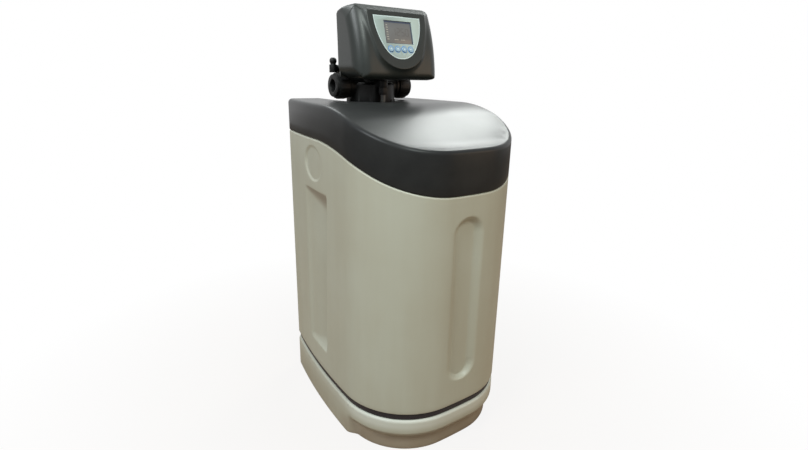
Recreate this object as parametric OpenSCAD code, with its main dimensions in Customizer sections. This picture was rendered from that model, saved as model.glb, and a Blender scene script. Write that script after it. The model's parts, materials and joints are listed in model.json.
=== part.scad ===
// Cabinet water softener: a moulded salt cabinet with a pull-off lid, a resin
// tank and a motor-driven control valve. Millimetres. Front faces -Y, +Z is up,
// and the origin is on the floor under the middle of the cabinet.

/* [Cabinet] */
// Greatest width of the cabinet
cab_w = 330; // [310:1:370]
// Depth of the cabinet from rear wall to front
cab_d = 416; // [400:1:460]
// Radius of the bowed side walls
side_r = 1400; // [1200:10:2000]
// Radius of the bowed front wall
front_r = 900; // [700:10:1400]
// Radius of the two large front corners
corner_r = 135; // [110:1:145]
// Radius of the two rear corners
rear_r = 15; // [8:1:30]
// Distance of the widest place in front of the middle
wide_y = 50; // [30:1:70]
// Thickness of the moulded walls
wall = 4; // [3:0.1:6]
// Height of the rim at the rear, where the lid sits
rim_z = 552; // [520:1:600]
// Radius of the rim's bend
rim_r = 415; // [350:5:450]
// Slope of the rim towards the front in degrees
rim_slope = 24; // [18:0.5:26]

/* [Base] */
// Height of the base tray
base_h = 72; // [60:1:90]
// Thickness of the base floor
floor_t = 6; // [4:0.5:10]
// Height of the toe recess at the front
kick_h = 45; // [30:1:50]
// Depth of the toe recess
kick_in = 12; // [6:1:20]
// Height of the dark trim strip
band_h = 12; // [8:1:18]
// Depth of the groove that the trim strip lies in
band_in = 3.5; // [2:0.1:4.5]

/* [Side and front recesses] */
// Width of the hand scoop in each side
scoop_w = 94; // [70:1:110]
// Height of the hand scoop in each side
scoop_h = 328; // [260:1:340]
// Height of the scoop's lower end above the floor
scoop_z = 130; // [115:1:160]
// Depth of the scoop at its front edge
scoop_d = 11; // [8:0.5:16]
// Radius of the round pad above the scoop
pad_r = 33; // [25:0.5:36]
// Depth of the round pad
pad_d = 2.2; // [1.5:0.1:4]
// Half width of the long front recess
slot_r = 35; // [28:0.5:45]
// Height of the long front recess
slot_h = 312; // [250:1:320]
// Height of the lower end of the front recess
slot_z = 133; // [115:1:150]
// Depth of the front recess
slot_d = 9; // [5:0.5:12]

/* [Lid] */
// Height of the flat rear deck of the lid
deck_z = 614; // [600:1:660]
// Thickness of the lid
lid_t = 3; // [2.5:0.1:4]
// Radius of the lid's rounded upper edge
lid_edge = 8; // [6:0.5:10]
// Slope of the lid towards the front in degrees
lid_slope = 21.5; // [16:0.5:23]
// Radius of the notch round the valve
notch_r = 66; // [60:1:70]
// Gap between the lid's lower edge and the cabinet's rim
lid_gap = 0.4; // [0.3:0.05:0.8]

/* [Tank] */
// Outer diameter of the resin tank
tank_d = 178; // [160:1:184]
// Wall of the resin tank
tank_t = 3; // [2.5:0.1:5]
// Distance of the tank's axis behind the middle
tank_y = 110; // [100:1:112]
// Height of the neck's upper face
neck_z = 592; // [580:1:600]
// Outer radius of the neck
neck_r = 42; // [40:0.5:44]
// Radius of the neck's opening
mouth_r = 36.5; // [34:0.5:37]
// Outer radius of the riser tube
riser_r = 13.4; // [12:0.1:15]

/* [Brine well] */
// Outer radius of the brine well
well_r = 38; // [32:1:40]
// Gap between the brine well and the widest place of the side wall
well_gap = 15; // [12:1:22]
// Distance of the well in front of the middle
well_y = 20; // [10:1:40]
// Height of the well's upper rim
well_z = 500; // [420:1:510]
// Travel of the float
float_travel = 60; // [30:1:100]

/* [Valve] */
// Outer radius of the valve's collar
collar_r = 48; // [44:0.5:50]
// Height of the port axis above the neck
port_rise = 50; // [46:1:52]
// Radius of the union nuts
nut_r = 24; // [20:0.5:25]
// Radius of the pipe bore in the unions
pipe_r = 12.1; // [10:0.1:13]
// Length of the pipe bore in the unions
pipe_l = 16; // [12:1:20]
// Distance of each union's outer face from the middle
port_x = 86; // [84:1:100]

/* [Control head] */
// Width of the control head
head_w = 184; // [176:1:200]
// Height of the control head
head_h = 130; // [126:1:150]
// Height of the control head's lower edge
head_z = 655; // [653:1:662]
// Depth of the head from its lower front edge to its back plate
head_d = 94; // [92:1:102]
// Lean of the front face in degrees
lean = 16; // [13:0.5:19]
// Thickness of the head cover
head_t = 2.5; // [2:0.1:3]
// Half width of the display panel at its upper edge
panel_r = 51; // [46:0.5:54]
// Width of the display window
lcd_w = 60; // [50:0.5:62]
// Height of the display window
lcd_h = 41; // [34:0.5:43]
// Radius of the buttons
button_r = 5; // [4:0.1:5.6]
// Spacing of the buttons
button_gap = 14.5; // [13.5:0.5:16]
// Travel of the buttons
button_travel = 1.2; // [0.6:0.1:1.5]

/* [Drive] */
// Module of the gear teeth
gear_m = 1.5; // [1.4:0.1:1.5]
// Teeth of the drive gear
gear_n = 56; // [52:1:58]
// Teeth of the motor pinion
pinion_n = 14; // [12:1:15]
// Thickness of the drive gear
gear_t = 8; // [6:0.5:9]

/* [Hidden] */
$fn = 96;
clear = 0.3;
run = 0.05;

hw = cab_w / 2;
hd = cab_d / 2;
cab_z = base_h + band_h;
lip = 6;
side_c = [hw - side_r, -wide_y];
front_c = [0, front_r - hd];

// Plan of the cabinet: where a fillet touches the side and the front or rear
function meet(a, ra, b, rb) =
    let (d = norm(b - a), u = (b - a) / d)
    let (p = (d * d + ra * ra - rb * rb) / (2 * d))
    a + u * p + [u.y, -u.x] * sqrt(ra * ra - p * p);
corner_c = meet(side_c, side_r - corner_r, front_c, front_r - corner_r);
rear_y = hd - rear_r;
rear_c = [side_c.x + sqrt(pow(side_r - rear_r, 2) - pow(rear_y + wide_y, 2)), rear_y];
function toward(c, from, r) = c + (c - from) / norm(c - from) * r;
function bearing(p, c) = atan2(p.y - c.y, p.x - c.x);
function arc(c, r, a, b, n) = [for (k = [0:n])
    let (t = a + (b - a) * k / n) c + r * [cos(t), sin(t)]];

// Right half of the lid's plan: front middle, corner, side, rear, notch round the valve
function half_plan(i) =
    let (a_front = bearing(corner_c, front_c), a_side = bearing(corner_c, side_c))
    let (a_rear = bearing(rear_c, side_c))
    concat(
        arc(front_c, front_r - i, -90, a_front, 4),
        [for (k = [1:16]) arc(corner_c, corner_r - i, a_front, a_side, 16)[k]],
        [for (k = [1:24]) arc(side_c, side_r - i, a_side, a_rear, 24)[k]],
        [for (k = [1:4]) arc(rear_c, rear_r - i, a_rear, 90, 4)[k]],
        [[notch_r + i, hd - i]],
        arc([0, tank_y], notch_r + i, 0, -90, 12));
notch_n = 13;

// Rim of the cabinet and upper face of the lid, as heights along the depth
rim_y = 40;
rim_end = rim_y - rim_r * sin(rim_slope);
function rim(y) =
    y > rim_y ? rim_z :
    y > rim_end ? rim_z - rim_r + sqrt(rim_r * rim_r - pow(rim_y - y, 2)) :
    rim_z - rim_r * (1 - cos(rim_slope)) - (rim_end - y) * tan(rim_slope);
crest_y = 10;
crest_r = 286;
crest_end = crest_y - crest_r * sin(lid_slope);
dip_r = 150;
dip_start = -hd + 38;
function slope_top(y) = deck_z - crest_r * (1 - cos(lid_slope)) - (crest_end - y) * tan(lid_slope);
function top(y) =
    y > crest_y ? deck_z :
    y > crest_end ? deck_z - crest_r + sqrt(crest_r * crest_r - pow(crest_y - y, 2)) :
    y > dip_start ? slope_top(y) :
    let (s = dip_r * sin(lid_slope) - (dip_start - y))
    slope_top(dip_start) - sqrt(dip_r * dip_r - s * s) + dip_r * cos(lid_slope);

// Tank and valve levels
tank_r = tank_d / 2;
tank_c = [0, tank_y];
tank_z = floor_t + 8;
dome_h = 50;
shoulder_z = neck_z - 40 - dome_h;
port_z = neck_z + port_rise;
nut_l = 28;
bar_l = port_x - nut_l;
bore_r = 13;

// Control head: local x to the right, y up along the face, z out of the face
back_y = 85.5;
head_y = back_y - head_d;
back_t = 4;
head_top = head_z + head_h;
button_z = head_z + 53.3;
face_o = [0, head_y + (button_z - head_z) * tan(lean), button_z];
lcd_v = 30.4;
bezel_h = 4;
head_side_r = 26;
head_top_r = 42;
head_low_r = 16;
dome_r = 300;
dome_v = 18;
dome_rise = 2;
dome_c = [
    face_o.y + dome_v * sin(lean) - (dome_rise - dome_r) * cos(lean),
    button_z + dome_v * cos(lean) + (dome_rise - dome_r) * sin(lean)
];
head_taper = 0.0733;
well_c = [hw - well_gap - well_r, -well_y];

// Drive train behind the display
gear_gap = 1.2;
gear_c = [0, head_z + head_t + gear_gap + gear_m * (gear_n / 2 + 0.9)];
pitch_r = gear_m * gear_n / 2;
pinion_r = gear_m * pinion_n / 2;
pinion_c = gear_c + [pitch_r + pinion_r, 0];
gear_y = 42;
disc_r = 26;
motor_r = 18;

// Plan outline, drawn inwards by i, from whole circles so that every wall is a true arc.
// The corner circles swell a little past the walls, so that they cross them cleanly
swell = 0.02;
module beyond(p, q) {
    d = (q - p) / norm(q - p);
    n = [d.y, -d.x];
    polygon([p - 60 * d, q + 60 * d, q + 60 * d + 200 * n, p - 60 * d + 200 * n]);
}

module plan(i = 0) {
    front_p = toward(corner_c, front_c, corner_r - i);
    side_p = toward(corner_c, side_c, corner_r - i);
    rear_p = toward(rear_c, side_c, rear_r - i);
    back_p = rear_c + [0, rear_r - i];
    difference() {
        intersection() {
            translate(side_c) circle(side_r - i, $fn = 720);
            mirror([1, 0]) translate(side_c) circle(side_r - i, $fn = 720);
            translate(front_c) circle(front_r - i, $fn = 720);
            translate([-hw, -hd]) square([2 * hw, 2 * hd - i]);
        }
        for (m = [0, 1]) mirror([m, 0]) {
            beyond(front_p, side_p);
            if (i < rear_r) beyond(rear_p, back_p);
        }
    }
    for (m = [0, 1]) mirror([m, 0]) {
        translate(corner_c) circle(corner_r - i + swell, $fn = 180);
        if (i < rear_r) translate(rear_c) circle(rear_r - i + swell);
    }
}

module slab(z0, z1, i = 0) {
    translate([0, 0, z0]) linear_extrude(z1 - z0) plan(i);
}

module along_x(x0, x1) {
    translate([x0, 0, 0]) rotate([90, 0, 90]) linear_extrude(x1 - x0) children();
}

module rod_x(x0, x1, r) {
    translate([x0, 0, 0]) rotate([0, 90, 0]) cylinder(r = r, h = x1 - x0);
}

module rod_y(y0, y1, r) {
    translate([0, y0, 0]) rotate([-90, 0, 0]) cylinder(r = r, h = y1 - y0);
}

// Everything below the rim line
module under_rim(drop) {
    y1 = -hd - 20;
    bend = [for (k = [0:20]) let (y = rim_y + (rim_end - rim_y) * k / 20) [y, rim(y)]];
    along_x(-hw - 1, hw + 1) translate([0, -drop])
        polygon(concat([[hd + 1, 0], [hd + 1, rim_z]], bend, [[y1, rim(y1)], [y1, 0]]));
}

// Base tray: an open tub that carries the tank, with a toe recess at the front
kick_y = -72;
module kick(i) {
    difference() {
        translate([-hw - 1, -hd - 1, -1]) cube([cab_w + 2, hd + kick_y + 1 + i, kick_h + 1 + i]);
        slab(-2, kick_h + i + 1, kick_in + i);
    }
}

module base_tray() {
    color([0.62, 0.58, 0.48]) difference() {
        slab(0, base_h);
        kick(0);
        difference() {
            slab(floor_t, base_h - lip, wall);
            kick(wall);
        }
        slab(base_h - lip - 1, base_h + 1, lip);
    }
}

module trim_strip() {
    color([0.13, 0.11, 0.14]) difference() {
        slab(base_h, cab_z, band_in);
        slab(base_h - 1, cab_z + 1, lip);
    }
}

// Recesses of the cabinet; e adds the wall round them on the inside
scoop_y = 6;
scoop_x = hw - 0.5 - scoop_d;
module scoop(e) {
    r = 14 + e;
    y0 = scoop_y - e;
    y1 = scoop_y + scoop_w + e;
    z0 = scoop_z - e;
    z1 = scoop_z + scoop_h + e;
    floor_x = scoop_x - e;
    intersection() {
        along_x(scoop_x - 20, hw + 10) {
            translate([y0 + r, z0]) square([y1 - y0 - 2 * r, z1 - z0]);
            translate([y0, z0 + r]) square([y1 - y0, z1 - z0 - 2 * r]);
            for (y = [y0 + r, y1 - r], z = [z0 + r, z1 - r]) translate([y, z]) circle(r);
        }
        translate([0, hd, 0]) rotate([90, 0, 0]) linear_extrude(cab_d)
            polygon([[floor_x, z0 + 22], [floor_x, z1 - 12], [hw + 10, z1 + 12 + 1],
                [hw + 10, z0 - 1], [hw, z0]]);
    }
}

pad_y = 48;
pad_z = rim_z - 46;
function side_x(y) = side_c.x + sqrt(side_r * side_r - pow(y + wide_y, 2));
pad_tilt = 1.2;
module pad(e) {
    translate([side_x(pad_y), pad_y, pad_z]) rotate(asin((pad_y + wide_y) / side_r) + pad_tilt)
        rod_x(-pad_d - e, 20, pad_r + e);
}

slot_in = 12;
module slot(e) {
    r0 = slot_r + 1 + e;
    r1 = slot_r - slot_in + e;
    z0 = slot_z + slot_r;
    z1 = slot_z + slot_h - slot_r;
    y0 = -hd - 1;
    y1 = -hd + slot_d + e;
    for (z = [z0, z1]) translate([0, y0, z]) rotate([-90, 0, 0]) cylinder(r1 = r0, r2 = r1, h = y1 - y0);
    translate([0, 0, z0]) linear_extrude(z1 - z0) polygon([[-r0, y0], [r0, y0], [r1, y1], [-r1, y1]]);
}

module recesses(e) {
    for (m = [0, 1]) mirror([m, 0, 0]) {
        scoop(e);
        pad(e);
    }
    slot(e);
}

// Overflow fitting in the rear wall
over_in = 53;
over_x = hw - over_in;
over_z = 470;
over_r = 11;

module cabinet_shell() {
    color([0.66, 0.64, 0.55]) difference() {
        intersection() {
            slab(cab_z, rim_z);
            under_rim(lid_gap);
        }
        recesses(0);
        difference() {
            slab(cab_z + lip, rim_z + 1, wall);
            recesses(wall);
        }
        slab(cab_z - 1, cab_z + lip + 1, lip);
        translate([over_x, 0, over_z]) rod_y(hd - wall - 1, hd + 1, over_r + clear);
    }
}

// Lid: one moulded skin, swept from the plan with a rounded upper edge
edge_n = 5;
notch_drop = 16;
function ring(i, z_of, notch_z) =
    let (h = half_plan(i), m = len(h))
    let (p = [for (k = [0:m - 1]) [h[k].x, h[k].y, k < m - notch_n ? z_of(h[k].y) : notch_z]])
    concat(p, [for (k = [m - 2:-1:1]) [-p[k].x, p[k].y, p[k].z]]);
function skin_ring(i, drop) = ring(i, function (y) top(y) - drop, deck_z - drop);
lid_rings = concat(
    [ring(0, function (y) rim(y), deck_z - notch_drop)],
    [for (k = [0:edge_n]) let (a = 90 * k / edge_n)
        skin_ring(lid_edge * (1 - cos(a)), lid_edge * (1 - sin(a)))],
    [ring(lid_t, function (y) rim(y), deck_z - notch_drop),
        skin_ring(lid_t, 2 * lid_t),
        skin_ring(2 * lid_t, lid_t)]);

module lid_skin() {
    n = len(lid_rings[0]);
    m = n / 2 + 1;
    last = edge_n + 1;
    wall_faces = function (a, b) [for (k = [0:n - 1]) let (j = (k + 1) % n)
        each [[a * n + k, b * n + j, a * n + j], [a * n + k, b * n + k, b * n + j]]];
    // Upper faces: level strips across the slope, then the flat deck as one face
    cap = function (a) let (flat = len([for (k = [0:m - 1]) if (lid_rings[a][k].y < crest_y) k]))
        concat(
            [[a * n, a * n + n - 1, a * n + 1]],
            [for (k = [1:flat - 1]) each [[a * n + k, a * n + n - k - 1, a * n + k + 1],
                [a * n + k, a * n + n - k, a * n + n - k - 1]]],
            [[for (k = [n - flat:-1:flat]) a * n + k]]);
    back = function (f) [for (q = f) [for (k = [len(q) - 1:-1:0]) q[k]]];
    polyhedron([for (r = lid_rings) each r], concat(
        [for (k = [0:last - 1]) each wall_faces(k, k + 1)],
        cap(last),
        back(wall_faces(0, last + 1)),
        back(wall_faces(last + 1, last + 2)),
        back(wall_faces(last + 2, last + 3)),
        back(cap(last + 3))));
}

module salt_lid() {
    color([0.14, 0.14, 0.14]) lid_skin();
}

// Salt side: grid, brine well with its float, tube to the valve, overflow
grid_z = cab_z + lip + 4;
grid_t = 6;
leg_r = 9;
bar_w = 12;
module salt_grid() {
    gap = wall + 6;
    slot_x0 = -hw + 55;
    slot_x1 = well_c.x - well_r - bar_w - 8;
    leg_x = hw - 75;
    color([0.75, 0.75, 0.72]) difference() {
        union() {
            intersection() {
                slab(grid_z, grid_z + grid_t, gap);
                translate([-hw, -hd, 0]) cube([cab_w, hd + 8, 300]);
            }
            for (x = [-leg_x, leg_x], y = [-110, -75]) translate([x, y, floor_t])
                cylinder(r = leg_r, h = grid_z - floor_t);
        }
        slot(wall + 1);
        translate([well_c.x, well_c.y, 0]) cylinder(r = well_r + 2, h = 300);
        for (x = [slot_x0:20:slot_x1], y = [-hd + 48:40:-40])
            translate([x, y, grid_z - 1]) cube([20 - bar_w, 28, grid_t + 2]);
    }
}

well_t = 2;
module brine_well() {
    color([0.8, 0.8, 0.78]) translate([well_c.x, well_c.y, 0]) difference() {
        translate([0, 0, floor_t]) cylinder(r = well_r, h = well_z - floor_t);
        translate([0, 0, floor_t + 3]) cylinder(r = well_r - well_t, h = well_z);
        for (a = [0:60:300]) rotate(a) translate([well_r - 10, -2.5, 30]) cube([20, 5, 30]);
    }
}

tube_r = 4.75;
module brine_well_cap() {
    color([0.75, 0.75, 0.72]) translate([well_c.x, well_c.y, 0]) difference() {
        union() {
            translate([0, 0, well_z]) cylinder(r = well_r + 2, h = 3);
            translate([0, 0, well_z - 8]) cylinder(r = well_r - well_t - run, h = 9);
        }
        translate([0, 0, well_z - 9]) cylinder(r = well_r - well_t - 3, h = 9);
        translate([0, 0, well_z - 10]) cylinder(r = tube_r + run, h = 20);
    }
}

stem_r = 5;
stem_z = floor_t + 3;
cage_h = 40;
module brine_riser() {
    color([0.85, 0.85, 0.85]) translate([well_c.x, well_c.y, 0]) difference() {
        translate([0, 0, stem_z + cage_h]) cylinder(r = stem_r + 1.5, h = well_z - 30 - stem_z - cage_h);
        translate([0, 0, stem_z + cage_h - 1]) cylinder(r = stem_r - 1.5, h = 600);
        translate([0, 0, well_z - 45]) cylinder(r = tube_r + run, h = 30);
    }
}

module air_check_cage() {
    color([0.2, 0.3, 0.5]) translate([well_c.x, well_c.y, stem_z]) difference() {
        cylinder(r = 14, h = cage_h);
        translate([0, 0, 3]) cylinder(r = 11.5, h = cage_h - 8);
        for (a = [0:45:315]) rotate(a) translate([0, -2, 5]) cube([20, 4, cage_h - 14]);
        translate([0, 0, cage_h - 6]) cylinder(r = stem_r - 1.5, h = 10);
    }
}

rod_x0 = 22;
float_z = 200;
float_h = 50;
module float_rod() {
    color([0.85, 0.85, 0.85]) translate([well_c.x, well_c.y, 0]) {
        translate([-rod_x0, 0, stem_z]) cylinder(r = 2, h = well_z - 30 - stem_z);
        translate([-rod_x0, 0, float_z - 4]) cylinder(r = 5, h = 4);
        translate([-rod_x0, 0, float_z + float_h + float_travel]) cylinder(r = 5, h = 4);
        translate([0, 0, well_z - 50]) difference() {
            union() {
                translate([-rod_x0 - 4, -4, 0]) cube([rod_x0 + 4, 8, 8]);
                cylinder(r = stem_r + 5, h = 8);
            }
            translate([0, 0, -1]) cylinder(r = stem_r + 1.5 + run, h = 10);
        }
    }
}

module brine_float() {
    color([0.9, 0.9, 0.88]) translate([well_c.x - rod_x0, well_c.y, float_z]) difference() {
        cylinder(r = 11, h = float_h);
        translate([0, 0, -1]) cylinder(r = 2 + 2 * run, h = float_h + 2);
    }
}

// Route of the brine tube, from the nut under the head to the riser in the well
tube_top = [-8, tank_y - collar_r - 10.5];
brine_h = 13;
brine_z = head_z - 1 - brine_h;
brine_r = 9;
nut_h = 14;
tube_path = [
    [tube_top.x, tube_top.y, brine_z + 8], [tube_top.x, tube_top.y, brine_z - 20],
    [tube_top.x, tube_top.y, 600], [tube_top.x, tube_top.y, 576],
    [-4, 45, 560], [10, 28, 550], [34, 11, 544], [62, -4, 541], [88, -15, 538],
    [106, -19, 531], [well_c.x, well_c.y, well_z + 20], [well_c.x, well_c.y, well_z + 8],
    [well_c.x, well_c.y, well_z - 10], [well_c.x, well_c.y, well_z - 44]
];
function unit(v) = v / norm(v);
function heading(p, k) = unit(p[min(k + 1, len(p) - 1)] - p[max(k - 1, 0)]);
module tube(path, r, sides = 10) {
    n = len(path);
    turns = [for (s = [0:sides - 1]) [cos(360 * s / sides), sin(360 * s / sides)]];
    points = [for (k = [0:n - 1])
        let (t = heading(path, k), u = unit(cross(t, [0.31, 0.95, 0.05])), v = cross(t, u))
        each [for (c = turns) path[k] + r * (c.x * u + c.y * v)]];
    wrap = [for (k = [0:n - 2], s = [0:sides - 1])
        let (j = (s + 1) % sides, a = k * sides, b = a + sides)
        each [[a + s, b + s, b + j], [a + s, b + j, a + j]]];
    last = (n - 1) * sides;
    ends = [[for (s = [0:sides - 1]) s], [for (s = [sides - 1:-1:0]) last + s]];
    polyhedron(points, concat(wrap, ends));
}

module brine_tube() {
    color([0.16, 0.16, 0.17]) tube(tube_path, tube_r);
}

over_out = 24;
module overflow_elbow() {
    color([0.14, 0.14, 0.14]) translate([over_x, 0, over_z]) difference() {
        union() {
            rod_y(hd - wall - 16, hd + over_out, over_r);
            rod_y(hd + 2, hd + 6, over_r + 7);
            translate([0, hd + over_out, 0]) sphere(over_r);
            translate([0, hd + over_out, -36]) cylinder(r = 8.5, h = 36);
            for (z = [-36, -30, -24]) translate([0, hd + over_out, z]) cylinder(r1 = 8.5, r2 = 9.6, h = 4);
        }
        rod_y(hd - wall - 17, hd + over_out, 6.5);
        translate([0, hd + over_out, -37]) cylinder(r = 6.5, h = 37);
    }
}

module overflow_nut() {
    color([0.14, 0.14, 0.14]) translate([over_x, 0, over_z]) difference() {
        translate([0, hd - wall - 10, 0]) rotate([-90, 0, 0]) cylinder(r = over_r + 6, h = 10, $fn = 6);
        rod_y(hd - wall - 11, hd, over_r + run);
    }
}

module overflow_gasket() {
    color([0.1, 0.1, 0.1]) translate([over_x, 0, over_z]) difference() {
        rod_y(hd, hd + 2, over_r + 6);
        rod_y(hd - 1, hd + 3, over_r + run);
    }
}

// Resin tank: revolved from an elliptic dome profile
function dome(r, h, z, up) = [for (k = [0:10]) let (a = 90 * k / 10) [r * cos(a), z + up * h * sin(a)]];
low_z = tank_z + dome_h;
module vessel(i) {
    rotate_extrude() intersection() {
        polygon(concat(
            [for (p = dome(tank_r - i, dome_h - i, shoulder_z, 1)) p],
            [[0, shoulder_z], [0, low_z]],
            [for (k = [10:-1:0]) dome(tank_r - i, dome_h - i, low_z, -1)[k]]));
        translate([0, -1]) square([tank_r + 1, neck_z + 2]);
    }
}

module at_tank() {
    translate([tank_c.x, tank_c.y, 0]) children();
}

module tank_boot() {
    color([0.12, 0.12, 0.12]) at_tank() difference() {
        translate([0, 0, floor_t]) cylinder(r = tank_r, h = low_z - floor_t);
        vessel(-clear);
        translate([0, 0, floor_t - 1]) cylinder(r = tank_r - 30, h = 60);
    }
}

module resin_tank() {
    color([0.2, 0.32, 0.45]) at_tank() difference() {
        union() {
            vessel(0);
            translate([0, 0, shoulder_z + dome_h - 20])
                cylinder(r = neck_r, h = neck_z - shoulder_z - dome_h + 20);
        }
        vessel(tank_t);
        translate([0, 0, shoulder_z]) cylinder(r = mouth_r, h = neck_z);
    }
}

bed_h = 290;
bed_z = low_z + bed_h;
module resin_bed() {
    color([0.72, 0.5, 0.2]) at_tank() difference() {
        intersection() {
            vessel(tank_t + clear);
            cylinder(r = tank_r, h = bed_z);
        }
        translate([0, 0, tank_z - 1]) cylinder(r = riser_r + clear, h = bed_z);
        translate([0, 0, tank_z - 1])
            cylinder(r = strainer_r + clear, h = strainer_z + strainer_h + 1 - tank_z);
    }
}

strainer_r = 24;
strainer_h = 40;
strainer_z = tank_z + tank_t + 4;
module riser_tube() {
    color([0.85, 0.85, 0.85]) at_tank() translate([0, 0, strainer_z + strainer_h]) difference() {
        cylinder(r = riser_r, h = neck_z - 12 - strainer_z - strainer_h);
        translate([0, 0, -1]) cylinder(r = riser_r - 2, h = neck_z);
    }
}

module strainer(r, h, hole) {
    difference() {
        cylinder(r = r, h = h);
        translate([0, 0, -1]) cylinder(r = hole, h = h + 2);
        for (a = [0:30:330], z = [5:5:h - 6]) rotate(a) translate([r - 2, -3, z]) cube([4, 6, 1.5]);
    }
}

module bottom_strainer() {
    color([0.9, 0.9, 0.9]) at_tank() translate([0, 0, strainer_z])
        strainer(strainer_r, strainer_h, riser_r - 4);
}

spigot_l = 26;
module top_strainer() {
    color([0.9, 0.9, 0.9]) at_tank() translate([0, 0, neck_z - spigot_l - 30])
        strainer(26, 30, riser_r + run);
}

module neck_seal() {
    color([0.08, 0.08, 0.08]) at_tank() translate([0, 0, neck_z]) difference() {
        cylinder(r = neck_r - 0.5, h = 3);
        translate([0, 0, -1]) cylinder(r = mouth_r, h = 5);
    }
}

// Valve body: collar on the tank neck, cross bar with the two ports, disc housing
collar_h = 57;
spigot_r = mouth_r - 0.4;
post_r = 30;
post_z = gear_c.y + 30;
disc_y = 58;
bar_r = 20;
drain_y = tank_y + 14;
drain_z = port_z + 32;
drain_r = 7;
drain_x0 = 42;
drain_x1 = 77;
injector_r = 15;
injector_x = 12;
injector_z = port_z + 34;
injector_y = tank_y + 36;
spin_l = 20;
spin_x = bar_l - spin_l;
web_t = 3;
axle_r = 1.5;
axle_l = spin_l / 2 + 1 + web_t;
module valve_body() {
    color([0.12, 0.12, 0.12]) difference() {
        union() {
            at_tank() {
                translate([0, 0, neck_z + 3]) cylinder(r = collar_r, h = collar_h - 7);
                translate([0, 0, neck_z + collar_h - 4]) cylinder(r1 = collar_r, r2 = collar_r - 4, h = 4);
                translate([0, 0, neck_z - spigot_l]) cylinder(r = spigot_r, h = spigot_l + 4);
                translate([0, 0, neck_z + collar_h - 1])
                    cylinder(r = post_r, h = post_z - neck_z - collar_h + 1);
                for (a = [0:30:330]) rotate(a) translate([collar_r - 1, -2, neck_z + 6]) cube([2.2, 4, 19]);
            }
            translate([0, tank_y, port_z]) rod_x(-bar_l, bar_l, bar_r);
            for (m = [0, 1]) mirror([m, 0, 0]) translate([0, tank_y, port_z])
                rod_x(bar_l - 7, bar_l - 2, bar_r + 2);
            translate([gear_c.x, 0, gear_c.y]) rod_y(disc_y, tank_y, disc_r + 6);
            translate([tube_top.x, tube_top.y, brine_z]) cylinder(r = brine_r, h = brine_h);
            translate([tube_top.x - brine_r, tube_top.y, brine_z]) cube([2 * brine_r, 34, brine_h]);
            translate([0, drain_y, drain_z]) rod_x(-drain_x0, -post_r + 12, drain_r + 2);
            translate([injector_x, tank_y + 20, injector_z]) rod_y(0, 16, injector_r);
        }
        for (m = [0, 1]) mirror([m, 0, 0]) translate([0, tank_y, port_z]) rod_x(18, bar_l + 1, bore_r);
        at_tank() translate([0, 0, neck_z - spigot_l - 1]) cylinder(r = riser_r + run, h = spigot_l + 20);
        translate([gear_c.x, 0, gear_c.y]) rod_y(disc_y, disc_y + 20, disc_r + clear);
        translate([tube_top.x, tube_top.y, brine_z - 1]) cylinder(r = tube_r + run, h = 10);
        translate([gear_c.x, 0, gear_c.y]) rod_y(disc_y + 19, disc_y + 30, 9);
    }
    color([0.12, 0.12, 0.12]) for (x = [spin_x - axle_l, spin_x + axle_l - web_t])
        translate([x, tank_y, port_z]) {
            translate([0, -bore_r - 1, -2]) cube([web_t, 2 * bore_r + 2, 4]);
            translate([0, -2, -bore_r - 1]) cube([web_t, 4, 2 * bore_r + 2]);
        }
    color([0.6, 0.6, 0.6]) translate([0, tank_y, port_z]) rod_x(spin_x - axle_l, spin_x + axle_l, axle_r);
}

module union_fitting() {
    translate([0, tank_y, port_z]) difference() {
        union() {
            rod_x(bar_l, port_x - 6, nut_r);
            rod_x(port_x - 6, port_x, nut_r - 3);
            for (a = [0:20:340]) rotate([a, 0, 0]) translate([bar_l + 4, -2, nut_r - 1])
                cube([nut_l - 12, 4, 2]);
        }
        rod_x(port_x - pipe_l, port_x + 1, pipe_r);
        rod_x(bar_l - 1, port_x, pipe_r - 3);
    }
}

module inlet_union() {
    color([0.13, 0.13, 0.13]) mirror([1, 0, 0]) union_fitting();
}

module outlet_union() {
    color([0.13, 0.13, 0.13]) union_fitting();
}

module flow_impeller() {
    color([0.3, 0.5, 0.8]) translate([0, tank_y, port_z]) difference() {
        union() {
            rod_x(spin_x - spin_l / 2, spin_x + spin_l / 2, 4);
            for (a = [0:90:270]) rotate([a, 0, 0]) translate([spin_x - spin_l / 2 + 2, -0.8, 3])
                cube([spin_l - 4, 1.6, bore_r - 4.4]);
        }
        rod_x(spin_x - spin_l, spin_x + spin_l, axle_r + run);
    }
}

// Drain: nut on the body and an elbow with a beaded hose end that points up
module drain_nut() {
    color([0.13, 0.13, 0.13]) translate([0, drain_y, drain_z]) difference() {
        translate([-drain_x0 - 16, 0, 0]) rotate([0, 90, 0]) cylinder(r = 13, h = 16, $fn = 6);
        rod_x(-drain_x0 - 17, -drain_x0 + 1, drain_r + run);
    }
}

bead_r = 7;
bead_z = 14;
module drain_elbow() {
    color([0.13, 0.13, 0.13]) translate([0, drain_y, drain_z]) difference() {
        union() {
            rod_x(-drain_x1, -drain_x0, drain_r);
            translate([-drain_x1, 0, 0]) {
                translate([0, 0, -drain_r - 0.6]) cylinder(r = drain_r + 0.6, h = 2 * drain_r + 0.6);
                cylinder(r = bead_r - 1.5, h = bead_z);
                translate([0, 0, bead_z]) sphere(bead_r);
            }
        }
        rod_x(-drain_x1, -drain_x0 + 1, 3.5);
        translate([-drain_x1, 0, 0]) cylinder(r = 3.5, h = bead_z + bead_r + 1);
    }
}

module brine_nut() {
    color([0.13, 0.13, 0.13]) translate([tube_top.x, tube_top.y, brine_z - nut_h]) difference() {
        cylinder(r = brine_r, h = nut_h, $fn = 6);
        translate([0, 0, -1]) cylinder(r = tube_r + run, h = nut_h + 2);
    }
}

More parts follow.
